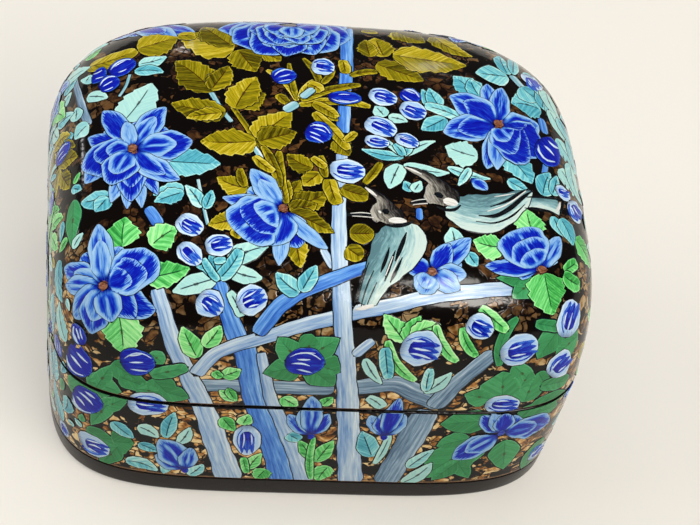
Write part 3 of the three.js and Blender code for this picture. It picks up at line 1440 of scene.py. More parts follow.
blue_places = (0, 0.2, 0.38, 0.56, 0.76, 1)
blue_stops = stops("08109a 1022b8 2254cc 4a86dc 80b2e8 a8ceee", blue_places)
pale_stops = stops("1c38c4 4a7ce0 86b2ee aed2f6 cbe4fa e8f5fd", blue_places)
deep_stops = stops("1c5a36 34864f 43a063 58b276 84cc98")
line_places = (0, 0.6, 1)
cheek_places = (0, 0.4, 1)
heart_places = (0, 0.35, 0.7, 1)
finishes = {
    "petal": blue_paint("blue_petals", blue_stops, 0.74, 0.62, 0.16, 1.5),
    "bud_pale": blue_paint("pale_buds", pale_stops, 0.25, 0.1, 0.62, 0.6),
    "bud_blue": blue_paint("blue_touches", blue_stops, 0.4, 0.1, 0.12, 0.4),
    "olive": leaf_paint("olive_leaves", stops("3a3204 6e640c 988c10 c0aa1c dccc54"), "4a2c08"),
    "spring_green": leaf_paint("spring_leaves", stops("2c8c3e 52c05c 7ce084 a2f29a c6fab8"), "155028"),
    "aqua": leaf_paint("aqua_leaves", stops("3a92aa 62bccc 8ad6dc aee8e4 cef4ee"), "0e3444", "bfeade"),
    "deep_green": leaf_paint("deep_leaves", deep_stops, "1e5a36", veined=0.45),
    "pale_bough": bough_paint("pale_boughs", stops("5e8cc8 92b4de b6d0e8 d6e8f4 eef6fa")),
    "blue_bough": bough_paint("blue_boughs", stops("2450b8 3e76d2 5e9ae6 8cbef2 c4def8")),
    "grey_bough": bough_paint("grey_boughs", stops("445c78 64829e 88a6be aec6d8 d8e6ee")),
    "twig": bough_paint("pale_twigs", stops("5f9fb4 84bccb 9ccad4 cfe8ea f0fafa")),
    "bird_back": bough_paint("bird_backs", stops("587e86 78a4aa 90b8bc b4d4d2 cfe2da"), 1.3, 0.25, 1.5),
    "bird_head": bough_paint("bird_heads", stops("b6b2a6 8c887e 56524e 2e2b2a 161414"), 0.9, 0.4, 2.2),
    "bird_white": bough_paint("bird_cheeks", stops("b8b6ac e4e2dc f8f8f4", cheek_places), 0.2, 0.5, 3),
    "bird_line": bough_paint("bird_lines", stops("05070a 12161a 30383c", line_places), 0.1, 0.5, 3),
    "outline": bough_paint("ink_lines", stops("04060c 0a0e18 1c2638", line_places), 0.1, 0.5, 3),
    "heart": bough_paint("flower_hearts", stops("2c120a 6b3a24 9a6a50 c89a80", heart_places), 0.1, 1.5, 3),
}
painted_ground = ground_paint()
inside_lacquer = lacquer("inside_lacquer", "121012", "3a2a20", 0.24, 0.3)
plinth_lacquer = lacquer("plinth_lacquer", "0c0b0c", "33261c", 0.26, 0.34)
print("finishes", list(finishes))

# %% [markdown]
# A film that crosses the seam is cut there. The lid's part ends above its rim, the base's part between the
# seam and the foot of the wall, and each cut is closed again.

# %% From films to pieces
rim_margin = 0.6
seam_margin = 0.4
foot_margin = 0.5


def cut_film(piece, height, keep_above):
    edit(piece)
    bpy.ops.mesh.select_mode(type="VERT")
    bpy.ops.mesh.select_all(action="SELECT")
    middle = (0, 0, height * MM)
    side = {"clear_inner": keep_above, "clear_outer": not keep_above}
    bpy.ops.mesh.bisect(plane_co=middle, plane_no=(0, 0, 1), threshold=1e-7, **side)
    bpy.ops.mesh.select_all(action="DESELECT")
    others = {"use_wire": False, "use_multi_face": False, "use_non_contiguous": False, "use_verts": False}
    bpy.ops.mesh.select_non_manifold(extend=False, **others)
    bpy.ops.mesh.fill_holes(sides=0)
    bpy.ops.object.mode_set(mode="OBJECT")


def film_piece(film, body):
    name = body + "_" + film.name
    mesh = bpy.data.meshes.new(name)
    mesh.from_pydata(film.points, [], film.faces)
    for paint in film.paints:
        mesh.materials.append(finishes[paint])
    mesh.polygons.foreach_set("material_index", film.colours)
    maps = {"stroke": film.stroke_map, "length": film.length_map, "edge": film.edge_map}
    for map_name, values in maps.items():
        layer = mesh.uv_layers.new(name=map_name)
        flat = [number for loop in mesh.loops for number in values[loop.vertex_index]]
        layer.data.foreach_set("uv", flat)
    piece = bpy.data.objects.new(name, mesh)
    bpy.context.collection.objects.link(piece)
    if body == "lid":
        cut_film(piece, lid_foot + rim_margin, True)
    else:
        cut_film(piece, seam_height - seam_margin, False)
        cut_film(piece, wall_foot + foot_margin, True)
    if not piece.data.polygons:
        bpy.data.objects.remove(piece, do_unlink=True)
        return
    smooth(piece, 55)
    report(piece)
    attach(piece, body)


# %% [markdown]
# The painting as the photograph shows it: the common flower-and-bulbul work of Kashmir boxes. Each row is one
# mark. The four numbers that come first are where it starts and where its tip is, in pixels of the
# photograph, and the fifth is its width in millimetres; a sixth bends it to one side.

# %% Leaves in the photograph
photo_leaves = {
    ("olive", "leaf", 6): [
        (235, 48, 186, 33, 8), (232, 46, 203, 27, 6), (238, 50, 256, 72, 7.5), (262, 54, 281, 61, 3.4),
        (213, 92, 175, 61, 8.6), (211, 90, 229, 66, 6), (226, 112, 171, 103, 6), (222, 113, 186, 118, 3.4),
        (239, 107, 266, 94, 6.2), (235, 109, 257, 77, 8), (256, 141, 200, 141, 7), (257, 139, 292, 112, 8),
        (258, 142, 297, 132, 6), (249, 188, 217, 177, 4.6), (241, 217, 208, 225, 5),
        (287, 204, 301, 180, 4.8), (288, 206, 328, 192, 6), (289, 208, 317, 204, 4.6),
        (290, 212, 334, 233, 5), (286, 203, 288, 180, 3.2), (313, 168, 287, 154, 4.6),
        (320, 173, 303, 186, 4.6), (384, 57, 375, 38, 7), (370, 57, 365, 40, 5), (376, 64, 424, 81, 5.2),
        (392, 55, 467, 66, 6.2), (396, 32, 425, 43, 5), (433, 37, 473, 57, 3.6), (137, 49, 178, 38, 6),
        (333, 141, 349, 156, 4.8), (326, 110, 338, 121, 3), (295, 238, 301, 268, 5.4),
    ],
    ("olive", "finger", 0): [
        (89, 67, 137, 50, 3), (178, 36, 196, 36, 2.2), (297, 101, 266, 70, 1.7, 0.12),
        (297, 99, 289, 63, 1.5), (299, 98, 314, 80, 1.6), (321, 90, 303, 58, 1.6, 0.1),
        (299, 105, 371, 107, 1.8), (301, 101, 361, 85, 1.7), (350, 76, 378, 72, 1.4),
        (361, 31, 377, 32, 1.6), (287, 204, 279, 151, 2.6), (262, 146, 280, 188, 2.2),
        (254, 156, 275, 172, 2), (314, 112, 349, 150, 2.6), (344, 141, 356, 132, 1.8),
        (329, 179, 338, 205, 3.6), (341, 188, 369, 196, 3.4), (364, 184, 381, 162, 2),
        (326, 178, 321, 155, 2), (312, 157, 326, 168, 1.8), (278, 94, 290, 104, 2), (322, 84, 334, 70, 1.6),
        (312, 103, 338, 118, 2.2), (330, 100, 352, 92, 1.4), (343, 60, 346, 74, 2.8),
        (245, 187, 240, 168, 2.2), (231, 230, 241, 238, 2), (308, 84, 322, 92, 2.4),
    ],
    ("spring_green", "leaf", 5): [
        (122.6, 247, 126, 217, 8.3), (151, 246, 178, 227.6, 6.6), (146, 278, 190, 268, 6.6),
        (118, 311, 123.5, 354, 10.4), (533, 234, 526, 209, 8), (504, 247, 473, 240, 6.2),
        (544, 273, 553, 315, 9.6), (575, 239, 590, 269, 3.6), (405, 342, 384, 314, 5.4),
        (406, 341, 421, 316, 4.4), (410, 336, 441, 325, 4), (266, 469, 256, 479, 4.4),
        (329, 466, 317, 481, 4.6),
    ],
    ("spring_green", "leaf", 0): [
        (197.5, 358, 182, 326, 4.8), (204, 347, 221, 325, 4), (282, 397, 298, 406, 3),
        (322, 406, 333, 397, 2.6), (222, 417, 235, 431, 3.2), (242, 425, 249, 414, 3.4),
        (248, 469, 262, 453, 3), (312, 460, 299, 440, 3.2), (315.5, 462, 334, 440, 3.6),
        (236, 401, 219, 390, 2.6), (228, 388, 237, 401, 2.2), (222, 376, 241, 369, 3),
    ],
    ("spring_green", "finger", 0): [
        (564, 271, 577, 262, 3), (563, 275, 580, 286, 3.4), (480, 307, 508, 331, 3),
        (462, 327, 477, 357, 2.4, 0.1), (436, 324, 458, 362, 2.6, 0.12), (388, 340, 416, 381, 2.6, 0.14),
        (214, 371, 221, 378, 2), (243, 457, 247, 473, 2), (311, 479, 314, 437, 1.8),
    ],
    ("aqua", "leaf", 5): [
        (124, 121, 152, 83, 8.8), (164, 161, 221, 164, 7.2), (479, 98, 453, 76, 5.6),
        (541, 110, 511, 103, 5.6), (478, 157, 445, 146, 6.2), (504, 152, 532, 184, 6.2),
        (184, 188, 153, 195, 3.8), (184, 192, 154, 202, 3.8),
    ],
    ("aqua", "leaf", 0): [
        (138, 64, 167, 56.5, 2.6), (134, 72, 164, 72.5, 2.4), (87, 97, 108, 98, 3), (84, 84, 90, 75, 2.6),
        (202, 208, 185, 185, 3.2), (205, 209, 212, 190, 2.8), (110, 194, 81, 203, 4),
        (108, 197, 95, 212, 3.6), (217, 278, 172, 292, 4.8), (228, 262, 269, 246, 4.6),
        (229, 269, 263, 278, 4.2), (300, 293, 276, 272, 4.4), (301, 292, 317, 265, 4),
        (508, 77, 475, 73, 4.2), (508, 75, 499, 56, 3), (513, 75, 514, 58, 2.8), (521, 87, 538, 100, 4.4),
        (388, 117, 408, 122, 2.2), (385, 117, 375, 106, 3.2), (404, 157, 361, 149, 2.2),
        (404, 156, 436, 141, 2.2), (404, 156, 412, 143, 1.8), (433, 108, 422, 89, 2.8),
        (441, 108, 429, 88, 3.4), (446, 118, 421, 130, 4.2), (480, 97, 470, 79, 3.6), (542, 109, 543, 90, 4),
        (545, 104, 561, 136, 3.6), (557, 138, 577, 167, 4), (560, 168, 578, 192, 4.2),
        (543, 196, 550, 173, 4.6), (552, 195, 557, 176, 3), (507, 180, 531, 193, 2.6),
        (400, 164, 389, 189, 5), (403, 165, 450, 173, 2.6), (447, 167, 491, 179, 2),
        (470, 168, 458, 186, 2.2), (410, 192, 404, 181, 2.4), (413, 192, 421, 181, 2.6),
        (455, 249, 451, 227, 4.4), (468, 252, 478, 266, 3.2), (553, 216, 564, 237, 2.4),
        (560, 218, 573, 246, 3), (424, 393, 452, 372, 2.8), (372, 457, 362, 431, 5.4),
        (112, 421, 134, 438, 2.8), (137, 426, 158.6, 438, 2.6), (166, 438, 175, 412, 3.8),
        (178, 444, 190, 427, 3), (138, 443, 158.6, 452, 2), (125, 460, 158, 471, 2.6),
        (188, 475, 203, 464, 2.8), (407, 468, 434, 449, 2.6), (401, 483, 432, 462, 3),
        (365, 358, 382, 384, 2.8), (89, 124, 75, 140, 3), (75, 122, 76, 108, 2.8), (60, 148, 74, 134, 3),
        (62, 112, 72, 92, 2.2), (66, 96, 78, 78, 2), (530, 75, 545, 100, 3), (545, 92, 560, 120, 3),
        (548, 110, 568, 145, 3), (556, 118, 575, 150, 2.8), (565, 140, 580, 190, 3.4),
        (570, 165, 582, 205, 3),
    ],
    ("aqua", "finger", 0): [
        (218, 279, 196, 262, 3, 0.12), (218, 279, 213, 253, 3), (219, 279, 241, 249, 3.4),
        (460, 118, 424, 106, 2.4), (219, 281, 203, 258, 1.8), (214, 262, 226, 260, 1.6),
        (404, 156, 380, 138, 1.5), (404, 156, 394, 144, 1.8), (242, 317, 229, 291, 2.6),
        (385, 347, 388, 379, 3.2), (426, 391, 431, 368, 2.6), (367, 397, 383, 408, 2.6),
        (374, 464, 390, 434, 1.8), (160, 468, 171, 470, 2.4), (288, 434, 300, 440, 2.6),
    ],
    ("deep_green", "leaf", 0): [
        (95, 389, 112, 364, 4.4), (86, 380, 122, 392, 5), (112, 362, 142, 384, 5), (150, 352, 164, 364, 4),
        (118, 376, 150, 388, 4.4), (152, 378, 171, 396, 6.2), (163, 391, 189, 398, 4),
        (135, 388, 165, 393, 4), (68, 383, 106, 405, 4.4), (98, 409, 129, 397, 4.4),
        (112, 398, 91, 425, 4.6), (86, 428, 116, 446, 3.4), (112, 441, 134, 443, 5.4),
        (119, 445, 101, 464, 5.4), (300, 362, 278, 337, 6.6), (308, 356, 340, 338, 5.4),
        (302, 366, 263, 373, 5.4), (308, 366, 334, 386, 6.4), (318, 365, 340, 372, 6),
        (298, 348, 322, 344, 6), (513, 365, 532, 382, 4.8), (560, 327, 537, 359, 5.4),
        (578, 335, 555, 356, 5.2), (502, 399, 503, 371, 11), (520, 388, 531, 370, 5.4),
        (524, 402, 534, 378, 6.4), (492, 399, 464, 394, 4.6), (538, 372, 547, 388, 4.4),
        (530, 407, 566, 392, 2.8), (491, 420, 440, 424, 5.6), (482, 440, 420, 478, 7.4),
        (470, 438, 436, 446, 4.4), (456, 460, 468, 478, 4.4), (505, 440, 503, 469, 7),
        (515, 420, 557, 405, 4.8), (541, 438, 522, 470, 3.4), (472, 452, 431, 480, 5),
        (533, 281, 512, 298, 5.4), (533, 280, 496, 278, 3.6), (74, 200, 72, 248, 3.4),
    ],
    ("deep_green", "finger", 0): [
        (150, 375, 188, 367, 3), (499, 366, 518, 317, 2.6, -0.12), (535, 323, 561, 328, 3),
        (540, 386, 567, 380, 3),
    ],
}

# %% [markdown]
# Boughs, stems and twigs, in the order they are painted: a paint, the widths at the start and at the end in
# millimetres, and the places in pixels that the bough runs through.

# %% Boughs, stems and twigs in the photograph
photo_boughs = [
    ("blue_bough", 3.2, 4.6, [(219, 281), (224, 300), (231, 322), (241, 346)]),
    ("grey_bough", 2.6, 3.0, [(197, 385), (242, 386), (300, 388), (336, 388)]),
    ("blue_bough", 4.8, 6.4, [
        (242, 341), (247, 357), (251, 380), (256, 400), (263, 420), (273, 445), (281, 470), (284, 483),
    ]),
    ("pale_bough", 2.0, 4.4, [(261, 351), (266, 378), (272, 402), (281, 421), (292, 446), (301, 470),
    (305, 483)]),
    ("grey_bough", 3.2, 4.4, [(345, 388), (361, 387), (395, 384), (415, 392), (448, 405)]),
    ("grey_bough", 3.8, 3.0, [(432, 408), (455, 385), (475, 368), (495, 352)]),
    ("grey_bough", 6.0, 5.2, [(428, 409), (410, 440), (395, 465), (383, 485)]),
    ("pale_bough", 3.0, 6.2, [
        (156, 286), (164, 312), (172, 340), (184, 366), (192, 384), (203, 406), (214, 436), (231, 483),
    ]),
    ("pale_bough", 2.2, 1.4, [(334, 268), (328, 258), (322, 248)]),
    ("blue_bough", 3.0, 3.0, [(346, 28), (346, 80), (344, 110), (343, 134)]),
    ("pale_bough", 3.3, 3.0, [
        (194, 376), (210, 358), (226, 349), (250, 341), (272, 335), (305, 325), (345, 315), (385, 307),
        (420, 299), (455, 293), (490, 290), (520, 288), (546, 287),
    ]),
    ("pale_bough", 2.6, 5.9, [
        (342, 148), (341, 180), (339, 210), (339, 240), (340, 262), (341, 287), (342, 302), (343, 320),
        (344, 340), (346, 370), (348, 408), (349, 440), (350, 485),
    ]),
    ("blue_bough", 3.8, 2.6, [(256, 335), (266, 322), (280, 306), (303, 291), (330, 280), (372, 265)]),
    ("pale_bough", 2.2, 1.8, [(354, 356), (362, 349), (374, 340)]),
    ("blue_bough", 2.4, 2.8, [(147, 207), (154, 216), (160, 226)]),
    ("grey_bough", 1.4, 2.0, [(75, 80), (80, 100), (89, 126)]),
    ("twig", 1.0, 1.0, [(209, 89), (222, 110), (232, 122)]),
    ("olive", 1.1, 1.5, [(232, 106), (246, 126), (256, 142), (268, 158), (279, 176), (286, 200)]),
    ("twig", 1.2, 1.2, [(252, 145), (258, 153), (262, 161)]),
    ("twig", 1.2, 1.1, [(511, 75), (521, 86), (536, 99)]),
    ("twig", 0.6, 0.7, [(198, 179), (203, 204), (208, 225)]),
    ("twig", 0.5, 0.5, [(130, 74), (126, 86), (119, 97)]),
    ("blue_bough", 1.5, 1.5, [(419, 208), (420, 220)]),
    ("blue_bough", 1.6, 1.6, [(541, 118), (545, 134)]),
    ("blue_bough", 1.4, 1.2, [(546, 162), (543, 180)]),
]

# %% [markdown]
# A bud's row has the x and y of its middle in pixels, its length and width in millimetres, its turn in
# degrees and its touches. A round leaf's row is the same without touches.

# %% Buds in the photograph
photo_buds = [
    (284, 76, 5.6, 3.9, -15, -2), (323, 67, 5.6, 4, 10, 1), (345, 98, 8, 3, 3, -1),
    (319, 133, 6.4, 5, 20, -3), (347.5, 171, 8.6, 5.4, 5, 2), (383, 97, 7, 4, 15, 2),
    (410.5, 96, 5, 3.6, 25, -1), (413, 111, 6.6, 4.2, 20, 2), (381, 127, 7.8, 4.6, 25, 2),
    (377, 142, 6, 2.8, 12, 1), (407, 141, 6, 3.2, 20, 2), (533, 83, 5, 3.6, 50, 1),
    (549, 151, 7.2, 6, 45, -2), (562.6, 193, 3.6, 3, 20, 1), (575, 211, 5.4, 4, 60, 2),
    (190, 225, 6.6, 5.2, 30, 2), (190, 254, 6.8, 4.8, 45, 1), (219, 245, 6.6, 5.2, -10, 1),
    (252, 300, 7.6, 6.8, -25, 2), (210, 304, 6.8, 6.2, 35, 2), (421, 349, 9.6, 8, 10, 2),
    (480, 327, 6.6, 6, 25, 1), (519, 350, 9.4, 6.6, -15, 1), (570, 319, 9, 5.2, -75, 2),
    (560, 365, 7, 4.8, -45, 1), (78, 363, 7.8, 5.6, 50, -2), (138, 362, 8.2, 6, 0, -2),
    (305, 362, 9.4, 6.2, 5, -3), (148, 404, 9.8, 5.4, 8, 2), (85, 401, 7.6, 5.8, 45, -3),
    (95, 446, 7.6, 4.6, 20, 2), (247, 440, 7, 6.4, 90, 1), (536, 452, 5.4, 2.6, -45, 1),
    (502, 404, 8.2, 4, 0, 2), (64, 428, 4.4, 2.2, 70, 1),
]
photo_buds += [(122, 67, 6.8, 3.8, -27, -1), (99.5, 75, 3.8, 3.2, -20, -1), (109, 83.5, 5.2, 3.6, -30, -2)]
photo_round_leaves = [(362, 233.6, 6.2, 4.4, 0), (354.5, 253, 4.8, 4.3, 35)]

# %% [markdown]
# A blossom is its heart and then its petals in the order they are painted: x and y of the tip in pixels,
# width in millimetres, and then, unless they are nought, the bend and how many petals are nested inside.

# %% Blossoms in the photograph
photo_blossoms = [
    ((292, 28), [
        (218, 30, 6, 0, 1), (229, 35, 7, 0, 1), (233, 43, 8, 0, 1), (346, 27, 6, 0, 1), (350, 40, 8, 0, 1),
        (337, 50, 8.4, 0, 1), (255, 53.6, 9.4, 0, 1), (315, 55.3, 9.4, 0, 1), (285, 57.4, 10, 0, 1),
        (250, 33, 6), (262, 44, 8, 0, 1), (330, 36, 7, 0, 1), (320, 45, 7, 0, 1), (276, 46, 8, 0, 1),
        (301, 47, 6.6, 0, 1), (273, 37, 6.6), (312, 37, 6), (292, 41, 6),
    ]),
    ((133, 149.5), [
        (88, 138, 4.6), (103, 111, 6, 0.05), (85, 184, 5.2, 0.1), (111, 203, 4.4), (127, 209, 4.4),
        (142, 208, 3.8), (158, 195, 3.6), (131, 202, 7.2, 0, 1), (166, 107, 5.8, -0.05, 1), (126, 122, 4),
        (193, 141, 6.6, 0, 1), (180, 180, 5.2, 0.08, 1), (93, 176, 9.6, 0.12, 2), (112, 186, 7.4, 0.06, 1),
    ]),
    ((104, 286), [
        (64, 268, 6, 0, 1), (66, 286, 5), (156, 310, 7, 0.1), (136, 318, 6.4), (74, 318, 6, 0.05),
        (98, 224, 6, 0, 1), (91, 334, 6.6, 0.05, 1), (112, 322, 6.4), (150, 250, 10.4, 0.1, 2),
    ]),
    ((283, 209), [
        (222, 197.5, 3.6), (251, 169, 5, 0, 1), (279, 266, 4.2), (328, 249, 3.4, 0.05), (270, 246, 8, -0.06),
        (236, 233, 12.4, 0.06, 2),
    ]),
    ((498, 125), [
        (487, 84, 4.8), (502, 88, 5), (449, 96, 6.2, 0.05, 1), (443, 132.5, 6.4, 0, 1), (487, 169, 5),
        (497, 170, 4.6), (538, 124, 6, 0.05), (547, 151, 7.6), (530, 148, 9.6, 0.1, 2),
    ]),
    ((541.5, 270), [(485, 266, 4), (560, 237, 4.6), (516, 229, 11.4, 0, 2)]),
    ((432, 272), [
        (471, 238, 5), (450, 244, 5), (404, 262, 5), (467, 275, 4.4), (460, 290, 5), (420, 294, 6.4, 0, 1),
    ]),
]
photo_irises = [
    ((185, 470), [(155, 454, 3.6), (158.6, 439, 6.2, 0.05), (191, 447, 4.6)]),
    ((311, 436), [(288, 414, 4), (300, 410, 3.6), (329, 413, 3.8), (312, 396, 5.4)]),
    ((384, 437), [(370, 415, 4), (405, 414, 4.4), (386, 411, 5.4), (400, 398, 4.4)]),
    ((501, 433), [(482, 415, 5), (517, 414, 5), (494, 412, 4.6), (506, 412, 4.6),
                  (452, 459, 4.8, 0, 1), (549, 422, 4.6, 0, 1)]),
    ((470, 178), [(488, 190, 2.4)]),
]


# %% [markdown]
# The painter's order: boughs first, then the flowers of the back that lie over the far shoulder, then leaves,
# blossoms, irises and buds. A heart of size nought is left bare.

# %% The painting in the photograph
bud_stretch = 1.05
cropped_above = 60
irises_below = 400

for paint, start_width, end_width, points in photo_boughs:
    bough(in_photo, points, start_width, end_width, paint)
flower(on_side("back"), 50, 65, 16.5, 0)
flower(on_side("back"), -41, 63, 12.5, 0)
crown_petals = [(-10, 69, 8), (25, 69, 8), (-6, 62, 8), (21, 61, 8), (1, 57, 8.4), (13, 56, 8.4)]
blossom(on_side("back"), (7.5, 72), [(*petal_row, 0, 1) for petal_row in crown_petals], 0)
broad_leaves = {key: rows for key, rows in photo_leaves.items() if key[0] == "deep_green"}
for (paint, kind, teeth), rows in broad_leaves.items():
    mass(in_photo, paint, [(kind, *row, 0) if len(row) < 6 else (kind, *row) for row in rows])
for (paint, kind, teeth), rows in photo_leaves.items():
    if (paint, kind, teeth) in broad_leaves:
        continue
    for x0, y0, x1, y1, width, *bend in rows:
        side = bend[0] if bend else chance.uniform(-0.07, 0.07)
        mark(in_photo, kind, (x0, y0), (x1, y1), width, paint, side, teeth)
bough(in_photo, [(284, 111), (291, 107), (298, 103)], 1.8, 1.8, "twig")
bough(in_photo, [(301, 98), (308, 93), (314, 89)], 1.6, 1.6, "twig")
for x, y, long, wide, turn in photo_round_leaves:
    angle, reach = math.radians(turn), long * photo_pixels_per_mm / 2
    mark(in_photo, "bud", turned((x, y), -reach, angle), turned((x, y), reach, angle), wide, "olive")
for heart, petals in photo_blossoms:
    blossom(in_photo, heart, petals, heart_size if heart[1] > cropped_above else 0)
for heart, petals in photo_irises:
    blossom(in_photo, heart, petals, iris_heart_size if heart[1] > irises_below else 0)
for x, y, long, wide, turn, touches in photo_buds:
    bud(in_photo, (x, y), long * bud_stretch, wide, turn, touches)
print("points painted", {name: len(film.points) for name, film in films.items()})

# %% [markdown]
# Two bulbuls sit over the boughs, grey-blue above and white below, with dark crests, thin beaks and black
# lines for the wing feathers. Head, body and tail are each filled between two edges, and the rest is lines
# whose widths, in millimetres, are given along their length.

# %% The birds
bird_shapes = [
    ("bird_back",
     [(383, 226), (375, 238), (369.5, 252), (366, 266), (362, 282), (357, 300), (355.5, 307)],
     [(414, 219), (427, 240), (418, 255), (404, 268), (389, 281), (378, 298), (374, 305)]),
    ("bird_head",
     [(364.7, 187.8), (371, 193.5), (377, 199), (373, 206), (369, 212.5), (375, 219), (382, 225)],
     [(365.5, 186.6), (377, 192.5), (387, 199.5), (395, 206), (401, 213), (405, 218), (398, 224.5)]),
    ("bird_back",
     [(562, 202), (545, 198), (526, 198), (508, 203)],
     [(558, 214.5), (545, 209), (527, 207), (510, 214)]),
    ("bird_back",
     [(533, 190), (517, 192), (500, 194), (484, 195), (470, 195), (461, 197), (455, 200)],
     [(531, 193), (518, 210), (501, 224), (484, 232.5), (465, 230), (448, 218.5), (440.5, 207)]),
    ("bird_head",
     [(404, 168.2), (414, 173.5), (427, 181), (425, 190), (423, 197.5), (430, 203), (440, 207)],
     [(404.6, 166.6), (420, 170.3), (437.5, 178.5), (450.5, 187.5), (459, 194), (460, 199.5), (452, 206)]),
]
bird_lines = [
    ("bird_white", [0.5, 1, 0.5], [(364.9, 187.3), (370.5, 191.6), (377, 196.5)]),
    ("bird_line", [0.9, 1.3, 1.4], [(346.5, 214.6), (358, 214.4), (371, 215.8)]),
    ("bird_white", [0.2, 0.35, 0.3], [(350, 213.4), (361, 212.8), (371, 213.8)]),
    ("bird_white", [0.2, 0.3, 0.3], [(352, 216.1), (363, 216.7), (374, 217.9)]),
    ("bird_line", [0.9, 1.9, 1.2], [(382, 210.5), (385.5, 211.5), (389, 213)]),
    ("bird_white", [0.5, 0.8, 0.5], [(378.2, 211), (379.8, 212), (381, 213.4)]),
    ("bird_white", [1, 1.9, 1.7, 0.8], [(388.4, 220.8), (394, 220.4), (401, 220.6), (407, 221.6)]),
    ("bird_line", [0.4, 1, 1.2, 0.6], [(384, 225), (396, 226.2), (406, 224.4), (414, 221.4)]),
    ("bird_line", [0.4, 1.15, 1.2, 0.5], [(406.6, 232), (403, 242), (398.5, 253), (395, 262)]),
    ("bird_line", [0.3, 0.9, 1, 0.4], [(395.5, 250), (392, 259.5), (388, 271), (384.5, 282)]),
    ("bird_line", [0.3, 0.9, 1, 0.4], [(389.4, 247), (387, 256), (384, 264), (380.5, 273)]),
    ("bird_line", [0.3, 0.8, 0.9, 0.4], [(402.5, 257), (398, 267), (393.5, 276), (390, 283)]),
    ("bird_white", [0.3, 0.4, 0.3], [(393, 256), (389.6, 265), (385.4, 276)]),
    ("bird_white", [0.3, 0.4, 0.3], [(399.6, 256), (395.4, 266), (390, 277)]),
    ("bird_line", [0.3, 0.55, 0.5, 0.3], [(369, 262), (364, 276), (360, 291), (357, 306)]),
    ("bird_line", [0.3, 0.5, 0.5, 0.3], [(374, 270), (368.5, 282), (364, 295), (361, 307)]),
    ("bird_line", [0.3, 0.45, 0.3], [(377, 282), (371.5, 294), (367, 305)]),
    ("bird_white", [0.6, 1.2, 0.8], [(355, 309.6), (364, 307.8), (374, 305.4)]),
    ("bird_white", [0.4, 0.8, 0.4], [(404.6, 167.2), (412, 170), (422, 174.6)]),
    ("bird_line", [0.8, 1.2, 1.4], [(409.5, 203.4), (417, 202), (427, 201.4)]),
    ("bird_white", [0.2, 0.35, 0.3], [(411, 201.8), (418, 200.2), (427, 199.3)]),
    ("bird_white", [0.2, 0.3, 0.3], [(412.5, 205.1), (419.5, 204.1), (428, 203.5)]),
    ("bird_line", [0.9, 2, 1.2], [(434, 193.5), (438.5, 195), (443, 197.4)]),
    ("bird_white", [1.2, 2.5, 2.3, 1], [(443, 201.4), (448, 201.6), (454, 203), (458, 204.6)]),
    ("bird_line", [0.4, 1, 1, 0.5], [(436.5, 206.5), (446, 210), (455, 209.5), (461, 205)]),
    ("bird_line", [0.5, 1.25, 1.4, 1.2, 0.5],
     [(478, 215.6), (495, 216), (510, 208.4), (523, 197.4), (533, 190.6)]),
    ("bird_line", [0.3, 0.9, 1.1, 0.5], [(490, 207), (505.5, 201.8), (520.8, 193), (529, 188.6)]),
    ("bird_line", [0.3, 0.6, 0.7, 0.3], [(475.5, 221.4), (495, 223), (512, 216), (525, 204.4)]),
    ("bird_white", [0.3, 0.55, 0.4], [(487, 211.6), (507, 204.6), (526, 191)]),
    ("bird_white", [0.2, 0.4, 0.2], [(494, 197), (505, 195.4), (515, 193.4)]),
    ("bird_line", [0.4, 0.9, 0.9, 0.5], [(526, 197.4), (541, 197.2), (552, 198.6), (562.6, 201)]),
    ("bird_line", [0.3, 0.5, 0.6, 0.4], [(524, 208), (537, 209.6), (548, 211.6), (559, 215.6)]),
    ("bird_line", [0.5, 1, 0.6], [(562.6, 201.2), (561.4, 208), (559.6, 216)]),
    ("bird_white", [0.4, 0.9, 0.5], [(559.4, 203), (558.2, 208), (556, 213)]),
]


def evenly(widths):
    """Half widths that run smoothly through full widths, which are spaced evenly from start to tip."""

    def half_width(u, side):
        spot = min(len(widths) - 1.001, max(0.0, u * (len(widths) - 1)))
        part = spot % 1
        part = part * part * (3 - 2 * part)
        return (widths[int(spot)] * (1 - part) + widths[int(spot) + 1] * part) / 2

    return half_width


for paint, left, right in bird_shapes:
    patch(in_photo, left, right, paint)
for paint, widths, points in bird_lines:
    draw([in_photo(x, y) for x, y in points], evenly(widths), paint, 0, 0)
for barb in range(11):
    x, y = 366 - 0.95 * barb, 268 + 3.6 * barb
    mark(in_photo, "finger", (x, y), (x - 4.2, y + 6.4), 0.4, "bird_line", 0.1, line=0)

# %% [markdown]
# The sides that the photograph doesn't show carry the same work. Each has a tree of boughs, flowers that
# cross the seam, irises and sprigs of buds, and the painter then fills what is left with leaves, big ones
# first. A panel is drawn at a shift along a side, mirrored or not, and its heights are stretched by a
# factor.

# %% Motifs of the hidden sides
# Side, shift, mirrored or not, and the factor for the heights
side_panels = [("left", -12, 1, 0.94), ("right", 8, -1, 0.84), ("back", -34, 1, 1.0), ("back", 34, -1, 0.93)]
panel_boughs = [
    ("blue_bough", 3.6, 2.2, [(-2, 28), (-11, 37), (-20, 43), (-27, 47)]),
    ("grey_bough", 4.6, 2.8, [(15, 5), (13, 17), (8, 27), (1, 38)]),
    ("pale_bough", 5.8, 2.6, [(-6, 5), (-5, 18), (-1, 32), (3, 46), (2, 60)]),
    ("pale_bough", 2.6, 1.6, [(2, 42), (11, 49), (20, 54)]),
    ("pale_bough", 3.0, 1.8, [(-5, 19), (-14, 27), (-24, 30)]),
]
panel_sprays = [
    ("olive", 2, 58, 15, 64, 8.5, 5, 5), ("spring_green", 14, 51, 29, 57, 7, 4.4, 5),
    ("aqua", -4, 44, -3, 62, 7, 4.2, 0), ("spring_green", -21, 30, -34, 37, 6, 3.6, 0),
]
panel_clusters = [(-23, 20, 9), (4, 24, 8), (25, 16, 9.5)]
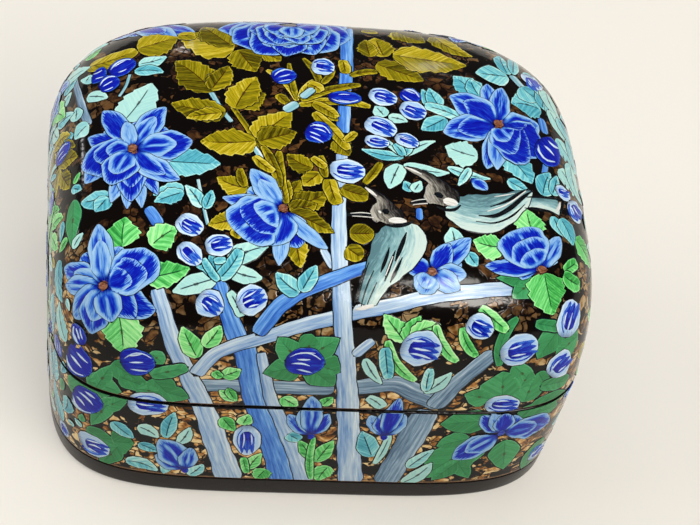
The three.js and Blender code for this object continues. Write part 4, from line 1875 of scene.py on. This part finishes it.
panel_flowers = [(-18, 51, 13.5), (22, 39, 13)]
panel_irises = [(-16, 9, 9, 1.6), (4, 9, 8, 1.4), (34, 11, 8, 1.9)]
panel_sprigs = [(9, 55, 0.9, 9), (-27, 34, 2.4, 8), (11, 28, 0.9, 7), (-8, 30, 2.0, 7)]


for side, shift, flip, stretch in side_panels:
    place = on_side(side)
    for paint, start_width, end_width, points in panel_boughs:
        bough(place, [(shift + flip * x, y * stretch) for x, y in points], start_width, end_width, paint)
    for paint, x0, y0, x1, y1, length, width, teeth in panel_sprays:
        start, tip = (shift + flip * x0, y0 * stretch), (shift + flip * x1, y1 * stretch)
        spray(place, start, tip, paint, length, width, teeth)
    for x, y, reach in panel_clusters:
        cluster(place, shift + flip * x, y, reach)
    for x, y, reach in panel_flowers:
        flower(place, shift + flip * x, y * stretch, reach)
    for x, y, reach, way in panel_irises:
        iris(place, shift + flip * x, y, reach, math.pi / 2 + flip * (way - math.pi / 2))
    for x, y, way, reach in panel_sprigs:
        sprig(place, shift + flip * x, y * stretch, math.pi / 2 + flip * (way - math.pi / 2), reach)

# %% [markdown]
# The painter fills the bare ground last, with the biggest leaves that still find room and then with smaller
# and smaller ones. A place is tried by chance, and is left alone where the photograph shows it or where
# paint already covers more than a small share of it.

# %% Leaves that fill what is left
# Kind, length, width, teeth and how often a place is tried
fill_sizes = [("leaf", 11, 6, 5, 300), ("leaf", 8.5, 4.6, 5, 500), ("bud", 6.4, 5, 0, 300)]
fill_sizes += [("leaf", 6.5, 3.6, 0, 800), ("leaf", 4.8, 2.6, 0, 900), ("leaf", 3.4, 1.9, 0, 700)]
fill_from = 8
fill_starts_to = 67
fill_tips_to = 68
upper_from = 35
upper_paints = ("spring_green", "aqua", "aqua", "olive")
lower_paints = ("deep_green", "deep_green", "spring_green", "aqua")
facing_share = 0.1
covered_share = 0.12
half_width_share = 0.42


def fill(side):
    place = on_side(side)
    reach = half_length if side == "back" else half_depth
    for kind, length, width, teeth, tries in fill_sizes:
        for attempt in range(tries):
            start = (chance.uniform(-reach, reach), chance.uniform(fill_from, fill_starts_to))
            tip = turned(start, length * chance.uniform(0.9, 1.15), chance.uniform(0, any_turn))
            middle, normal = lay(place(*between(start, tip, 0.5)))
            if side != "left" and normal.dot((camera_at - middle).normalized()) > facing_share:
                continue
            if not fill_from < tip[1] < fill_tips_to:
                continue
            points = [place(*start), middle, place(*tip)]
            cells = cells_under(points, lambda u, side: width * half_width_share)
            if sum(cell in painted for cell in cells) > covered_share * len(cells):
                continue
            if kind == "bud":
                turn, touches = chance.uniform(0, 180), chance.choice((1, 2, -2))
                bud(place, between(start, tip, 0.5), length, width, turn, touches)
                continue
            paint = chance.choice(upper_paints if start[1] > upper_from else lower_paints)
            mark(place, kind, start, tip, width, paint, chance.uniform(-0.12, 0.12), teeth)


for side in ("left", "right", "back"):
    fill(side)
print("cells painted", len(painted))

# %% [markdown]
# Every film becomes one piece on the lid and one on the base. The moulded pieces then take their coats: paint
# outside and black lacquer inside. On the base the inside is every face that lies well in from the mould.

# %% The pieces
inside_share = 0.6

for film in films.values():
    for body in ("lid", "base"):
        film_piece(film, body)

for piece, coats, body, node, slot in (
    (moulded_lid, [painted_ground, inside_lacquer], "lid", "lid_shell", "painted_ground"),
    (moulded_base, [painted_ground, inside_lacquer], "base", "base_wall", "painted_ground"),
    (collar_strip, [inside_lacquer], "base", "locating_collar", "black_lacquer"),
    (foot_ring, [plinth_lacquer], "base", "foot_plinth", "plinth_black"),
):
    for coat in coats:
        piece.data.materials.append(coat)
    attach(piece, body)
    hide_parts(node)
for face in moulded_base.data.polygons:
    centre = face.center / MM
    skin_at = base_point(math.atan2(centre.y, centre.x), centre.z)
    if (skin_at.xy - centre.xy).length > inside_share * wall_thickness:
        face.material_index = 1
floor_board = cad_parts["floor_board"]
for place in floor_board.material_slots:
    place.material = inside_lacquer

# %% [markdown]
# The floor is plain and pale. A little glow of its own makes the background bright, but only for the lens,
# for reflections and for what is seen through glass, so it throws no light and keeps the object's shadow.

# %% The floor
floor_size = 6
floor_glow = 0.42


def make_floor():
    start_clean()
    bpy.ops.mesh.primitive_plane_add(size=floor_size)
    table = bpy.context.object
    table.name = "studio_floor"
    sweep = Recipe("studio_floor")
    inputs = sweep.shader.inputs
    sweep.put(inputs["Base Color"], colour("bab6af"))
    sweep.put(inputs["Roughness"], 0.9)
    sweep.put(inputs["Specular IOR Level"], 0.0)
    rays = sweep.add("LightPath").node
    seen = sweep.maths("MAXIMUM", rays.outputs["Is Camera Ray"], rays.outputs["Is Glossy Ray"])
    seen = sweep.maths("MAXIMUM", seen, rays.outputs["Is Transmission Ray"])
    sweep.put(inputs["Emission Color"], colour("f4efe6"))
    sweep.put(inputs["Emission Strength"], sweep.times(seen, floor_glow))
    table.data.materials.append(sweep.material)
    return table


table = make_floor()
table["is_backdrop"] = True

# %% [markdown]
# Soft lamps light the box from the front right, the left and above. The panes of a window and three far
# windows are seen only as reflections in the varnish: they light nothing.

# %% The lights and the world
daylight = 0.12
warm = "fffaf2"


def lamp(name, compass, height, distance, across, up, watts, tint="ffffff", mirrored=True, lights=True):
    """A lamp turned to the box: compass 0 is +Y and 90 is +X, height in degrees, the rest in metres."""
    turn, rise = math.radians(compass), math.radians(height)
    way = Vector((math.sin(turn) * math.cos(rise), math.cos(turn) * math.cos(rise), math.sin(rise)))
    start_clean()
    bpy.ops.object.light_add(type="AREA", location=way * distance + Vector((0, 0, 0.04)))
    light = bpy.context.object
    light.name = name
    light.data.shape = "RECTANGLE"
    light.data.size = across
    light.data.size_y = up
    light.data.energy = watts
    light.data.color = colour(tint)[:3]
    light.visible_glossy = mirrored
    light.visible_diffuse = lights
    light.rotation_euler = (-way).to_track_quat("-Z", "Y").to_euler()


for column, row, watts in ((-1, 0, 6.5), (0, 0, 6.5), (1, 0, 5.5), (-1, 1, 4), (0, 1, 4)):
    lamp("window_pane", 146 + 13 * column, 41 + 16 * row, 1.2, 0.2, 0.26, watts, warm, lights=False)
for compass, height in ((-47, 7), (-5, 22), (17, 27)):
    lamp("far_window", compass, height, 1.6, 0.05, 0.06, 0.27, lights=False)
lamp("key", 150, 48, 2.4, 1.6, 1.6, 43, warm, mirrored=False)
lamp("soft_left", -75, 35, 2.6, 2.4, 1.8, 31, mirrored=False)
lamp("soft_top", 0, 75, 2.8, 2.8, 2.0, 32, mirrored=False)
world = bpy.data.worlds.new("studio")
bpy.context.scene.world = world
world.use_nodes = True
sky = world.node_tree.nodes["Background"].inputs
sky["Color"].default_value = colour("ffffff")
sky["Strength"].default_value = daylight

bpy.context.scene.view_settings.view_transform = "Standard"
final_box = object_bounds()
str([[list(corner) for corner in box] for box in (cad_box, final_box)])
